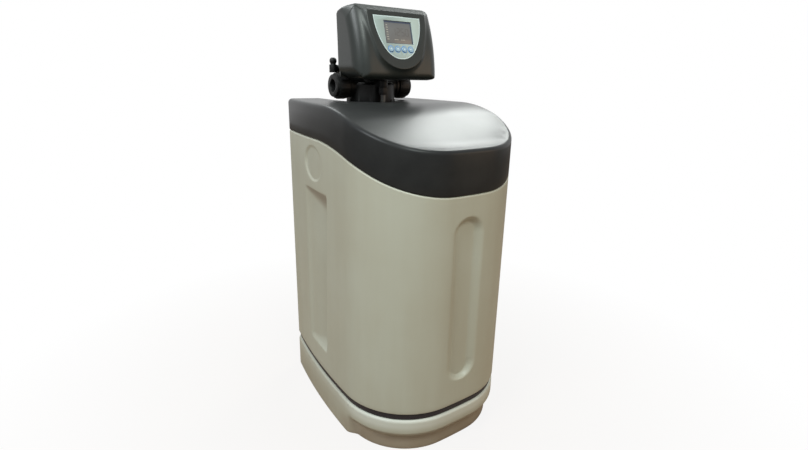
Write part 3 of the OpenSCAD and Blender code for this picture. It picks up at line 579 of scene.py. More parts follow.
class Surface(Enum):
    """The finishes of this object, each with its record slot."""

    CREAM = CreamMoulding("cream_moulding", "cabinet_cream", (175, 176, 162))
    LID = SatinBlack(
        "lid_satin", "lid_black", (35, 36, 37), (78, 80, 78),
        roughness=0.32, grain=0.9, depth=0.010, dust_and_sheen=0.22, gloss=0.14,
    )
    HEAD = SatinBlack(
        "head_texture", "head_black", (21, 27, 25), (66, 72, 70),
        roughness=0.37, grain=0.6, depth=0.012, dust_and_sheen=0.06, gloss=0.38, matt=0.4,
    )
    FITTING = SatinBlack(
        "fitting_nylon", "valve_black", (16, 17, 17), (44, 45, 44),
        roughness=0.46, grain=0.7, depth=0.02, dust_and_sheen=0.06, gloss=0.22,
    )
    PANEL = PrintedFilm("panel_film", "panel_grey", (152, 168, 164))
    DISPLAY = DisplayGlass("display_glass", "lcd", (97, 96, 95))
    BOARD = BoardLacquer("board_lacquer", "board", (28, 84, 48))
    TANK = WoundTank("wound_tank", "tank", (54, 86, 120))
    RESIN = ResinBeads("resin_beads", "resin", (150, 92, 28))
    STEEL = TurnedMetal("plated_steel", "steel", (190, 190, 188))
    TRIM = PlainMoulding(
        "trim_vinyl", "trim_dark", (24, 19, 26), (40, 34, 44), streak=30.0, depth=0.015
    )
    SEGMENT = PlainMoulding("display_segment", "lcd", (86, 83, 81), (78, 76, 75))
    # Colour of the painted shade along the display window's edge.
    WINDOW_SHADE = PlainMoulding("window_shade", "lcd", (46, 56, 78), (60, 68, 86))
    PANEL_EDGE = PlainMoulding(
        "panel_edge", "panel_grey", (206, 220, 222), (190, 206, 208), roughness=0.4, streak=6.0
    )
    MARK = PlainMoulding("display_mark", "lcd", (160, 156, 146), (120, 118, 110))
    BUTTON = PlainMoulding(
        "button_blue", "button_blue", (112, 160, 206), (150, 190, 222),
        roughness=0.3, streak=6.0, depth=0.008, wet=0.3,
    )
    BUTTON_FACE = PlainMoulding(
        "button_face", "button_blue", (196, 214, 222), (160, 190, 212),
        roughness=0.35, streak=3.0, depth=0.006,
    )
    BUTTON_RING = PlainMoulding(
        "button_ring", "button_blue", (92, 140, 196), (122, 164, 208),
        roughness=0.4, streak=5.0, depth=0.006,
    )
    WHITE = PlainMoulding(
        "inner_white", "inner_white", (216, 216, 208), (190, 188, 176), streak=22.0, depth=0.03
    )
    DARK = PlainMoulding(
        "inner_dark", "inner_dark", (48, 60, 84), (74, 86, 104), streak=14.0, depth=0.03
    )
    SEAL = PlainMoulding(
        "seal_rubber", "seal", (26, 26, 26), (50, 50, 50), roughness=0.65, streak=5.0, depth=0.05
    )
    CERAMIC = PlainMoulding(
        "ground_ceramic", "ceramic", (232, 230, 222), (206, 204, 196),
        roughness=0.22, streak=9.0, wet=0.4,
    )
    HOSE = PlainMoulding(
        "hose_polythene", "valve_black", (64, 64, 62), (96, 96, 92),
        roughness=0.36, streak=10.0, depth=0.02,
    )


def link(name: str, data: bpy.types.ID) -> bpy.types.Object:
    """Adds an object with that data to the scene."""
    made = bpy.data.objects.new(name, data)
    bpy.context.scene.collection.objects.link(made)
    return made


def settle(name: str, made: Skin) -> bpy.types.Mesh:
    """Turns a bmesh into a mesh of that name and frees it."""
    mesh = bpy.data.meshes.new(name)
    made.to_mesh(mesh)
    made.free()
    return mesh


def place(
    name: str,
    made: Skin,
    surface: Surface,
    body: str,
    replaced: Iterable[str] = (),
    crease: float = 38.0,
) -> bpy.types.Object:
    """Turns a bmesh into a finished piece that rides on a body.

    Args:
        name: The piece's name.
        made: Its mesh in the row frame, in metres; it is freed here.
        surface: Its finish.
        body: The CAD body that it rides on.
        replaced: CAD nodes that it stands for.
        crease: Edges sharper than this many degrees stay sharp.

    Returns:
        The piece's object.
    """
    mesh = settle(name, made)
    mesh.polygons.foreach_set("use_smooth", [True] * len(mesh.polygons))
    mesh.set_sharp_from_angle(angle=math.radians(crease))
    piece = link(name, mesh)
    piece.data.materials.append(surface.value.material())
    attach(piece, body)
    for node in replaced:
        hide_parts(node)
    log.info("%s: %d faces on %s", name, len(mesh.polygons), body)
    return piece


def wrap(
    rows: Sequence[Sequence[Vector]], closed: bool = False, capped: bool = False
) -> Skin:
    """Wraps a grid round rings of points in millimetres.

    Args:
        rows: Rings with as many points each.
        closed: Whether the last ring joins the first.
        capped: Whether a face closes each open end.

    Returns:
        The skin, in metres.
    """
    across, along = len(rows[0]), len(rows) - (0 if closed else 1)
    made = bmesh.new()
    bmesh.ops.create_grid(made, x_segments=across, y_segments=along, size=0.5)
    for v in made.verts:
        i, j = round((v.co.x + 0.5) * across), round((v.co.y + 0.5) * along)
        v.co = rows[j % len(rows)][i % across] * MM
    bmesh.ops.remove_doubles(made, verts=made.verts, dist=MERGE)
    if capped:
        ends = [e for e in made.edges if e.is_boundary]
        bmesh.ops.holes_fill(made, edges=ends, sides=0)
    bmesh.ops.recalc_face_normals(made, faces=made.faces)
    return made


def turned(profile: Sequence[Pair], steps: int = 48) -> Skin:
    """Spins a profile about the Z axis.

    Args:
        profile: Points of radius and height in millimetres, from axis to axis.
        steps: Steps of the full turn.

    Returns:
        The closed turned solid, in metres.
    """
    made = bmesh.new()
    line = [made.verts.new((r * MM, 0, z * MM)) for r, z in profile]
    edges = [made.edges.new(pair) for pair in zip(line, line[1:])]
    bmesh.ops.spin(
        made,
        geom=line + edges,
        cent=(0, 0, 0),
        axis=(0, 0, 1),
        angle=math.tau,
        steps=steps,
        use_merge=True,
    )
    bmesh.ops.remove_doubles(made, verts=made.verts, dist=MERGE)
    bmesh.ops.recalc_face_normals(made, faces=made.faces)
    return made


def bevel(
    made: Skin, edges: list[bmesh.types.BMEdge], width: float, clamp: bool = False
) -> None:
    """Rounds edges in two steps.

    Args:
        made: The mesh that they belong to.
        edges: The edges.
        width: Width of the rounding in millimetres.
        clamp: Whether roundings stop where they would overlap.
    """
    bmesh.ops.bevel(
        made,
        geom=edges,
        offset=width * MM,
        offset_type="OFFSET",
        affect="EDGES",
        segments=2,
        profile=0.5,
        material=-1,
        clamp_overlap=clamp,
    )


@dataclass(frozen=True)
class Plan:
    """Outline of cabinet, base and lid, from arcs that run into each other."""

    width: float = 330.0
    depth: float = 416.0
    side_r: float = 1400.0
    front_r: float = 900.0
    corner_r: float = 135.0
    rear_r: float = 15.0
    widest_y: float = -50.0

    def centres(self) -> tuple[Vector, Vector, Vector, Vector]:
        """Centres of the front, corner, side and rear corner arcs of the right half."""
        front = Vector((0, self.front_r - self.depth / 2))
        side = Vector((self.width / 2 - self.side_r, self.widest_y))
        ra, rb = self.side_r - self.corner_r, self.front_r - self.corner_r
        gap = (front - side).length
        u = (front - side) / gap
        p = (gap * gap + ra * ra - rb * rb) / (2 * gap)
        corner = side + u * p + Vector((u.y, -u.x)) * math.sqrt(ra * ra - p * p)
        rear_y = self.depth / 2 - self.rear_r
        rear_x = side.x + math.sqrt((self.side_r - self.rear_r) ** 2 - (rear_y - side.y) ** 2)
        return front, corner, side, Vector((rear_x, rear_y))

    def outline(self, step: float) -> list[Spot]:
        """Points round the plan with their outward directions.

        Args:
            step: About how far apart the points are.

        Returns:
            Pairs of point and direction, from the front's middle by the right side.
        """
        front, corner, side, rear = self.centres()

        def bearing(p: Vector, c: Vector) -> float:
            """Direction from a centre to a point."""
            return math.atan2(p.y - c.y, p.x - c.x)

        a_front, a_side = bearing(corner, front), bearing(corner, side)
        a_rear = bearing(rear, side)
        arcs = [
            (front, self.front_r, -math.pi / 2, a_front, step),
            (corner, self.corner_r, a_front, a_side, step),
            (side, self.side_r, a_side, a_rear, step),
            (rear, self.rear_r, a_rear, math.pi / 2, step * 0.8),
        ]
        half: list[Spot] = []
        for centre, radius, start, end, gap in arcs:
            count = max(2, math.ceil(radius * (end - start) / gap))
            for k in range(count):
                a = start + (end - start) * k / count
                out = Vector((math.cos(a), math.sin(a)))
                half.append((centre + out * radius, out))
        count = max(2, math.ceil(rear.x / (step * 2)))
        for k in range(count + 1):
            half.append((Vector((rear.x * (1 - k / count), self.depth / 2)), Vector((0, 1))))
        mirror = [(Vector((-p.x, p.y)), Vector((-n.x, n.y))) for p, n in half[1:-1]]
        return half + mirror[::-1]


@dataclass(frozen=True)
class Lines:
    """Heights of the cabinet's rim and of the lid's upper face along the depth."""

    rim_z: float = 552.0
    rim_r: float = 415.0
    rim_slope: float = 24.0
    rim_y: float = 40.0
    deck_z: float = 614.0
    crest_y: float = 10.0
    crest_r: float = 286.0
    lid_slope: float = 21.5
    dip_y: float = -170.0
    dip_r: float = 150.0

    def rim(self, y: float) -> float:
        """Height of the rim at y."""
        a = math.radians(self.rim_slope)
        end = self.rim_y - self.rim_r * math.sin(a)
        if y > self.rim_y:
            return self.rim_z
        if y > end:
            return self.rim_z - self.rim_r + math.sqrt(self.rim_r**2 - (self.rim_y - y) ** 2)
        return self.rim_z - self.rim_r * (1 - math.cos(a)) - (end - y) * math.tan(a)

    def top(self, y: float) -> float:
        """Height of the lid's upper face at y."""
        a = math.radians(self.lid_slope)
        end = self.crest_y - self.crest_r * math.sin(a)

        def slope(at: float) -> float:
            """Height of the straight fall at a depth."""
            return self.deck_z - self.crest_r * (1 - math.cos(a)) - (end - at) * math.tan(a)

        if y > self.crest_y:
            return self.deck_z
        if y > end:
            bow = math.sqrt(self.crest_r**2 - (self.crest_y - y) ** 2)
            return self.deck_z - self.crest_r + bow
        if y > self.dip_y:
            return slope(y)
        s = self.dip_r * math.sin(a) - (self.dip_y - y)
        return slope(self.dip_y) - math.sqrt(self.dip_r**2 - s * s) + self.dip_r * math.cos(a)


@dataclass
class Cabinet:
    """Moulded cabinet wall with a round pad and scoop in each side and a long front recess."""

    plan: Plan
    lines: Lines
    step: float = 2.9
    foot_z: float = 84.0
    foot_round: Pairs = ((2.2, 0.0), (1.1, 0.3), (0.3, 1.1))
    foot_h: float = 2.4
    lip: float = 6.0
    wall: float = 4.0
    lid_gap: float = 0.4
    rim_round: float = 3.2
    rim_run: float = 0.2
    rim_steps: int = 6
    flank_x: float = 120.0
    scoop_y: Pair = (6.0, 100.0)
    scoop_z: Pair = (130.0, 458.0)
    scoop_x: float = 153.5
    scoop_lean: float = 18.0
    scoop_share: Pair = (0.5, 0.82)
    scoop_sides: Pair = (6.0, 22.0)
    scoop_ramps: Pairs = ((7.0, 45.0), (8.0, 22.0))
    pad_at: Pair = (48.0, 506.0)
    pad_r: float = 33.0
    pad_wide: float = 1.3
    pad_deep: Pair = (1.9, 1.5)
    pad_edge: float = 3.2
    slot_y: float = -120.0
    slot_r: float = 35.0
    slot_z: Pair = (168.0, 410.0)
    slot_d: float = 9.0
    slot_ramp: float = 19.0
    slot_steeper: Pair = (12.0, 8.0)
    spans: tuple[tuple[float, float, int], ...] = (
        (0.0, 0.08, 4), (0.08, 0.23, 34), (0.23, 0.73, 18), (0.73, 1.0, 62),
    )

    def slot(self, x: float, z: float) -> float:
        """Depth of the long front recess, whose ramps are steeper at its ends."""
        past = max(self.slot_z[0] - z, z - self.slot_z[1], 0.0)
        out = math.hypot(x, past)
        steeper = self.slot_steeper[0 if z < self.slot_z[0] else 1]
        ramp = self.slot_ramp - steeper * past / max(out, 1e-6)
        return self.slot_d * ease((self.slot_r - out) / ramp)

    def pad(self, y: float, z: float) -> float:
        """Depth of the round pad, which is deeper to the rear."""
        along = (y - self.pad_at[0]) / self.pad_wide
        inside = self.pad_r - math.hypot(along, z - self.pad_at[1])
        depth, more = self.pad_deep
        return (depth + more * along / self.pad_r) * ease(inside / self.pad_edge)

    def scoop(self, x: float, y: float, z: float) -> float:
        """Depth of the scoop, which is deeper to the front and has a ramp at each end."""
        (y0, y1), (z0, z1) = self.scoop_y, self.scoop_z
        y0 -= self.scoop_lean * (z - z0) / (z1 - z0)
        if not (y0 < y < y1 and z0 < z < z1):
            return 0.0
        front = (y1 - y) / (y1 - y0)
        share, more = self.scoop_share
        lead, trail = self.scoop_sides
        depth = (abs(x) - self.scoop_x) * (share + more * front)
        depth *= ease((y - y0) / lead) * ease((y1 - y) / trail)
        for away, (ramp, longer) in zip((z1 - z, z - z0), self.scoop_ramps):
            depth *= scooped(away / (ramp + longer * front))
        return depth

    def recess(self, x: float, y: float, z: float) -> float:
        """Depth of the recesses at a point of the plain wall.

        Args:
            x: Right of the middle.
            y: Behind the middle.
            z: Height.

        Returns:
            How far the skin lies inside the plain wall.
        """
        if y < self.slot_y and abs(x) < self.slot_r:
            return self.slot(x, z)
        return self.pad(y, z) + self.scoop(x, y, z) if abs(x) >= self.flank_x else 0.0

    def levels(self) -> list[float]:
        """Shares of the height at which rings lie, closer together at the recesses' ends."""
        return [a + (b - a) * k / n for a, b, n in self.spans for k in range(n)] + [1.0]

    def build(self) -> Skin:
        """Wraps outer and inner wall in one closed skin."""
        outline = self.plan.outline(self.step)
        rows: list[list[Vector]] = []

        def ring(inset: float, height: Callable[[float], float], follow: float = 0.0) -> None:
            """Adds a ring that follows the recesses by a share of their depth."""
            row = []
            for p, out in outline:
                z = height(p.y)
                row.append(inward(p, out, inset + follow * self.recess(p.x, p.y, z), z))
            rows.append(row)

        def rim(down: float) -> Callable[[float], float]:
            """Heights under the rim."""
            return lambda y: self.lines.rim(y) - self.lid_gap - down

        low, high = self.foot_z + self.foot_h, rim(self.rim_round + self.rim_run)

        def rise(t: float) -> Callable[[float], float]:
            """Heights at a share of the wall."""
            return lambda y: low + t * (high(y) - low)

        for inset, up in ((self.lip, 0.0), *self.foot_round):
            ring(inset, lambda y: self.foot_z + up)
        shares = self.levels()
        for t in shares:
            ring(0.0, rise(t), 1.0)
        for a in quarter(self.rim_steps):
            ring(self.rim_round * (1 - math.cos(a)), rim(self.rim_round * (1 - math.sin(a))))
        ring(self.wall, rim(0.0))
        for t in shares[::-3][1:]:
            ring(self.wall, rise(t), 1.0)
        for inset in (self.wall, self.lip):
            ring(inset, lambda y: self.foot_z + self.lip)
        return wrap(rows, closed=True)

    def dress(self) -> None:
        """Places the wall instead of its CAD node."""
        place("cabinet_wall", self.build(), Surface.CREAM, "cabinet", ["cabinet_shell"])


@dataclass
class BaseTub:
    """Base under the cabinet: rolled upper lip, and a toe recess with a cove round the front."""

    plan: Plan
    step: float = 3.2
    height: float = 70.5
    floor_t: float = 6.0
    wall: float = 4.0
    lip: float = 6.0
    lip_round: float = 5.6
    lip_steps: int = 8
    foot_round: Pairs = ((4.0, 0.0), (1.2, 0.0), (0.35, 0.35), (0.0, 1.2))
    outer_z: Row = (8.0, 16.0, 24.0, *(27.0 + 1.2 * k for k in range(17)), 50.0, 56.0, 61.0)
    inner_z: Row = (50.0, 42.0, 36.0, 30.0, 20.0)
    kick_top: float = 45.0
    kick_in: float = 12.0
    kick_y: float = -72.0
    kick_run: Pair = (26.0, 20.0)

    def kick(self, y: float, z: float) -> float:
        """How far the toe recess goes in at a point of the wall."""
        back, up = self.kick_run
        return self.kick_in * ease((self.kick_y - y) / back) * ease((self.kick_top - z) / up)

    def build(self) -> Skin:
        """Wraps the tub from its underside over the lip to its floor, and closes both."""
        outline = self.plan.outline(self.step)
        top, r = self.height, self.lip_round
        steps = [*self.foot_round, *((0.0, z) for z in self.outer_z)]
        for a in quarter(self.lip_steps):
            steps.append((r * (1 - math.cos(a)), top - r * (1 - math.sin(a))))
        steps += [(self.lip, top), (self.lip, top - self.lip), (self.wall, top - self.lip)]
        steps += [(self.wall, z) for z in (*self.inner_z, self.floor_t)]
        rows = [
            [inward(p, out, inset + self.kick(p.y, z), z) for p, out in outline]
            for inset, z in steps
        ]
        return wrap(rows, capped=True)

    def dress(self) -> None:
        """Places the tub instead of its CAD node."""
        place("base_tub", self.build(), Surface.CREAM, "cabinet", ["base_tray"])


@dataclass
class Lid:
    """Dark lid: flat rear deck, S-shaped fall to the front, rounded edge, notch round the valve."""

    plan: Plan
    lines: Lines
    thick: float = 3.0
    edge: float = 8.0
    notch_r: float = 66.0
    notch_y: float = 110.0
    notch_drop: float = 16.0
    notch_steps: tuple[int, int] = (8, 26)
    step: float = 3.6
    strip: float = 6.0
    cross: float = 20.0
    edge_steps: int = 8
    foot_curl: Triples = (
        (2.7, 0.0, 0.0), (1.9, 0.0, 0.0), (0.9, 0.0, 0.4), (0.3, 0.0, 1.2), (0.0, 0.0, 2.6),
        (0.0, 0.3, 0.0), (0.0, 0.65, 0.0),
    )

    def outline(self) -> list[tuple[Vector, Vector, float]]:
        """Points round the lid, the notch open to the rear.

        Returns:
            Each point with its outward direction and the height of the wall's foot there.
        """
        rear = self.plan.depth / 2
        ring = self.plan.outline(self.step)
        clear = self.notch_r + self.edge + 1
        half = [(p, out) for p, out in ring[: len(ring) // 2 + 1] if p.x > clear or p.y < 0]
        right = [(p, out, self.lines.rim(p.y)) for p, out in half]
        high = self.lines.deck_z - self.notch_drop
        straight, round_steps = self.notch_steps
        for k in range(straight + 1):
            foot = self.lines.rim_z + (high - self.lines.rim_z) * k / straight
            at = Vector((self.notch_r, rear + (self.notch_y - rear) * k / straight))
            right.append((at, Vector((-1, 0 if k else 1)), foot))
        for a in quarter(round_steps)[1:]:
            out = Vector((-math.cos(a), math.sin(a)))
            right.append((Vector((0, self.notch_y)) - out * self.notch_r, out, high))
        flip = Vector((-1, 1))
        left = [(p * flip, out * flip, foot) for p, out, foot in right[1:-1]]
        return right + left[::-1]

    def fill(self, made: Skin, depth: float) -> None:
        """Closes an open end with a face that follows the S-shaped fall.

        Args:
            made: The lid's wall so far.
            depth: How far the face lies under the upper face.
        """
        level = (self.lines.deck_z - depth) * MM
        rim = (v for v in made.verts if v.is_boundary)
        deck = min(rim, key=lambda v: abs(v.co.z - level))
        loop, ends = [], [e for e in deck.link_edges if e.is_boundary]
        while ends and ends[0] not in loop:
            loop.append(ends[0])
            near = [e for v in ends[0].verts for e in v.link_edges if e.is_boundary]
            ends = [e for e in near if e not in loop]
        skin = set(bmesh.ops.contextual_create(made, geom=loop)["faces"])
        cuts = [((0, y, 0), (0, 1, 0)) for y in self.steps(self.plan.depth / 2, self.strip)]
        cuts += [((x, 0, 0), (1, 0, 0)) for x in self.steps(self.plan.width / 2, self.cross)]
        for at, across in cuts:
            geom = [*{*skin, *(g for f in skin for g in (*f.edges, *f.verts))}]
            cut = bmesh.ops.bisect_plane(
                made, geom=geom, dist=MERGE, plane_co=Vector(at) * MM, plane_no=across
            )["geom"]
            skin = {g for g in cut if isinstance(g, bmesh.types.BMFace)}
        for v in {v for f in skin for v in f.verts}:
            v.co.z = (self.lines.top(v.co.y / MM) - depth) * MM

    def steps(self, half: float, gap: float) -> list[float]:
        """Even steps between both sides of the middle, ends left out."""
        count = math.floor(half / gap)
        return [k * gap for k in range(-count, count + 1)]

    def build(self) -> Skin:
        """Wraps the wall from the inner face over its foot and edge, and closes both faces."""
        outline = self.outline()
        turns = quarter(self.edge_steps)
        rows: list[list[Vector]] = []

        def ring(inset: float, height: Callable[[float, float], float]) -> None:
            """Adds a ring whose height comes from the wall's upper end and its foot."""
            row = []
            for p, out, foot in outline:
                over = self.lines.top(p.y - out.y * self.edge) - self.edge
                row.append(inward(p, out, inset, height(over, foot)))
            rows.append(row)

        def rounding(radius: float, order: Iterable[float]) -> None:
            """Adds the rings of a rounded edge."""
            for a in order:
                up = radius * math.sin(a)
                ring(self.edge - radius * math.cos(a), lambda over, foot: over + up)

        rounding(self.edge - self.thick, turns[::-1])
        inner = ((self.thick, 0.5, 0.0), (self.thick, 0.0, 0.4))
        for inset, share, up in (*inner, *self.foot_curl):
            ring(inset, lambda over, foot: foot + share * (over - foot) + up)
        rounding(self.edge, turns)
        made = wrap(rows)
        self.fill(made, 0.0)
        self.fill(made, self.thick)
        bmesh.ops.recalc_face_normals(made, faces=made.faces)
        return made

    def dress(self) -> None:
        """Places the lid instead of its CAD node."""
        place("lid_skin", self.build(), Surface.LID, "lid", ["salt_lid"], crease=50.0)


@dataclass(frozen=True)
class Face:
    """Leaning front of the control head: x to the right, v up along it, h out of it."""

    lean: float = 16.0
    front_y: float = -8.5
    low_z: float = 655.0
    button_z: float = 708.3

    def tilt(self) -> Triple:
        """Sine and cosine of the lean, and y of the face at the buttons' height."""
        a = math.radians(self.lean)
        y0 = self.front_y + (self.button_z - self.low_z) * math.tan(a)
        return math.sin(a), math.cos(a), y0

    def point(self, x: float, v: float, h: float) -> Vector:
        """A point of the face in the row frame, in millimetres."""
        s, c, y0 = self.tilt()
        return Vector((x, y0 + v * s - h * c, self.button_z + v * c + h * s))

    def local(self, p: Vector) -> Pair:
        """How far a point lies up along the face and out of it."""
        s, c, y0 = self.tilt()
        y, z = p.y - y0, p.z - self.button_z
        return y * s + z * c, z * s - y * c

    def matrix(self, x: float, v: float, h: float) -> Matrix:
        """Places a mesh that lies in the XY plane on the face, in metres."""
        turn = Matrix.Rotation(math.radians(90 - self.lean), 4, "X")
        return Matrix.Translation(self.point(x, v, h) * MM) @ turn


def reach(outside: Callable[[float], float], limit: float) -> float:
    """How far a ray goes before it leaves a form.

    Args:
        outside: Positive where a distance along the ray is outside.
        limit: A distance surely outside.

    Returns:
        The distance at which it leaves.
    """
    low, high = 0.0, limit
    for _ in range(HALVINGS):
        mid = (low + high) / 2
        if outside(mid) > 0:
            high = mid
        else:
            low = mid
    return low


def corner(a: float, b: float, r: float) -> float:
    """How far a point lies outside two planes that meet in a rounded edge.

    Args:
        a: Distance in front of the first plane.
        b: Distance in front of the second plane.
        r: Radius of their edge.

    Returns:
        The distance, negative inside.
    """
    return math.hypot(a + r, b + r) - r if a > -r and b > -r else max(a, b)


@dataclass(frozen=True)
class Shield:
    """Outline of the display panel: straight top, wide side arcs and a round lower end."""

    half_w: float = 51.0
    top_v: float = 59.0
    side_r: float = 108.12
    low_r: float = 40.04
    cap: float = 8.0
    far: float = 200.0

    def low_v(self) -> float:
        """Height of the lower arc's centre."""
        aside = self.side_r - self.half_w
        return self.top_v - math.sqrt((self.side_r - self.low_r) ** 2 - aside**2)

    def beyond(self, x: float, v: float) -> float:
        """Distance outside the side arcs and the lower arc; the straight top doesn't count."""
        low, aside = self.low_v(), self.side_r - self.half_w
        if (low - v) * aside > abs(x) * (self.top_v - low):
            return math.hypot(x, v - low) - self.low_r
        return math.hypot(abs(x) + aside, v - self.top_v) - self.side_r

    def outline(self, grow: float, angle: float, mid_v: float) -> Pair:
        """A point of the grown outline in a direction from the middle height."""
        c, s = math.cos(angle), math.sin(angle)
        top = self.top_v + min(grow, self.cap) - mid_v

        def outside(t: float) -> float:
            """How far a distance along the ray lies outside."""
            return max(self.beyond(t * c, mid_v + t * s) - grow, t * s - top)

        far = reach(outside, self.far)
        return far * c, mid_v + far * s


@dataclass
class ControlHead:
    """Head cover with a leaning front, soft corners, and a raised bezel round the panel."""

    face: Face
    shield: Shield
    half_w: float = 92.0
    taper: float = 0.0733
    low_z: float = 655.5
    top_z: float = 785.0
    back_y: float = 85.5
    wall: float = 2.5
    top_corner: Pair = (24.0, 46.0)
    rear_corner: float = 9.0
    corner_run: Pair = (4.0, 40.0)
    low_corner: float = 25.0
    side_round: float = 27.0
    top_round: float = 14.0
    low_round: float = 13.0
    dome_r: float = 300.0
    dome_at: Pair = (18.0, 2.0)
    chamfer: Pair = (36.0, 14.0)
    chamfer_round: float = 6.0
    panel_z: float = 2.6
    panel_top: float = 3.6
    bezel_h: float = 4.0
    bezel_deep: float = 16.0
    bezel_foot: float = 16.0
    bezel_chin: float = 5.0
    bezel_chin_v: Pair = (20.0, 40.0)
    bezel_slope: float = 0.9
    bezel_low: float = -9.0
    bezel_share: float = 0.9
    blend: float = 5.0
    mid_v: float = 26.0
    heart_h: float = -52.0
    far: float = 220.0
    rays: int = 280
    seat: Pairs = ((0.12, 0.7), (0.5, 0.18))
    seat_in: Pair = (-2.0, 0.06)
    crown: Row = (1.0, 2.5, 5.0, 7.5, 9.5, *(10.5 + 0.8 * k for k in range(20)))
    outer: tuple[int, float] = (34, 27.0)
    inner: tuple[int, float] = (12, 8.0)
    border_grow: Pair = (-0.5, -1.7)
    border_h: Pair = (-0.05, 0.08)

    def form(self, p: Vector) -> float:
        """Distance of a point outside the cover's plain form, without the bezel."""
        v0, rise = self.dome_at
        axis = self.face.point(0, v0, rise - self.dome_r)
        front = math.hypot(p.y - axis.y, p.z - axis.z) - self.dome_r
        wide, up, down = abs(p.x) - self.half_w, p.z - self.top_z, self.low_z - p.z
        side = wide + self.taper * max(-front, 0.0)
        deep, fall = self.chamfer
        slant = (p.y - self.back_y) * fall + (up + fall) * deep
        slant /= math.hypot(deep, fall)
        near, run = self.corner_run
        square = ease((-front - near) / run)
        across, tall = (r + (self.rear_corner - r) * square for r in self.top_corner)
        return max(
            corner(side * tall / across, up, tall),
            corner(side, down, self.low_corner),
            corner(side, front, self.side_round),
            corner(up, front, self.top_round),
            corner(down, front, self.low_round),
            corner(up, slant, self.chamfer_round),
        )

    def outside(self, p: Vector, inset: float) -> float:
        """Distance of a point outside the cover, with the bezel, drawn in by inset."""
        plain = self.form(p) + inset
        v, h = self.face.local(p)
        chin, run = self.bezel_chin_v
        spread = self.bezel_foot + self.bezel_chin * ease((chin - v) / run)
        spread -= self.bezel_slope * max(h, self.bezel_low)
        rim = max(self.shield.beyond(p.x, v) - spread, v - self.shield.top_v - self.shield.cap)
        boss = max(rim * self.bezel_share, h - self.bezel_h, -h - self.bezel_deep) + inset
        k = self.blend
        near = max(k - abs(plain - boss), 0.0) / k
        return min(plain, boss) - near * near * k / 4

    def heart(self) -> Vector:
        """The point inside the cover that rays start from."""
        return self.face.point(0, self.mid_v, self.heart_h)

    def hit(self, aim: Vector, inset: float = 0.0) -> Vector:
        """Where the cover's skin lies in the direction from its heart to a point."""
        heart = self.heart()
        ray = (aim - heart).normalized()
        return heart + ray * reach(lambda t: self.outside(heart + ray * t, inset), self.far)

    def angles(self) -> list[float]:
        """Directions on which every ring has a point."""
        return [math.tau * (k + 0.5) / self.rays for k in range(self.rays)]

    def raised(self, grow: float, h: float) -> list[Vector]:
        """Ring round the panel at a height out of the face."""
        spots = [self.shield.outline(grow, a, self.mid_v) for a in self.angles()]
        return [self.face.point(x, v, h) for x, v in spots]

    def rear(self, inset: float) -> list[Vector]:
        """Ring at the open rear edge."""
        mid = Vector((0, self.back_y, (self.low_z + self.top_z) / 2))
        row = []
        for a in self.angles():
            ray = Vector((math.cos(a), 0, math.sin(a)))
            row.append(mid + ray * reach(lambda t: self.form(mid + ray * t) + inset, self.far))
        return row

    def body(self, inset: float, steps: int, start: float) -> list[list[Vector]]:
        """Rings over the skin from the bezel's foot to the rear edge."""
        heart = self.heart()
        first = [(p - heart).normalized() for p in self.raised(start, 0.0)]
        edge = self.rear(inset)
        last = [(p - heart).normalized() for p in edge]
        rows = []
        for k in range(steps):
            rays = [a.slerp(b, k / steps) for a, b in zip(first, last)]
            rows.append([self.hit(heart + ray, inset) for ray in rays])
        return [*rows, edge]

    def build(self) -> Skin:
        """Wraps the cover as one closed shell, outside and then inside."""
        rows = [self.raised(self.seat_in[0], -self.wall)]
        rows += [self.raised(grow, self.panel_z) for grow in self.seat_in]
        rows += [self.raised(grow, self.bezel_h - down) for grow, down in self.seat]
        rows += [[self.hit(p) for p in self.raised(grow, 0.0)] for grow in self.crown]
        rows += self.body(0.0, *self.outer)
        rows += self.body(self.wall, *self.inner)[::-1]
        return wrap(rows, closed=True)

    def border(self) -> Skin:
        """Thin printed border on the panel, inside its outline."""
        low, high = (self.panel_top + h for h in self.border_h)
        outer, inner = self.border_grow
        spots = ((outer, low), (outer, high), (inner, high), (inner, low))
        return wrap([self.raised(*spot) for spot in spots], closed=True)

    def dress(self) -> None:
        """Places the cover instead of its CAD node, and the border on the panel."""
        place("head_shell", self.build(), Surface.HEAD, "cabinet", ["head_cover"], crease=40.0)
        place("panel_border", self.border(), Surface.PANEL_EDGE, "cabinet")


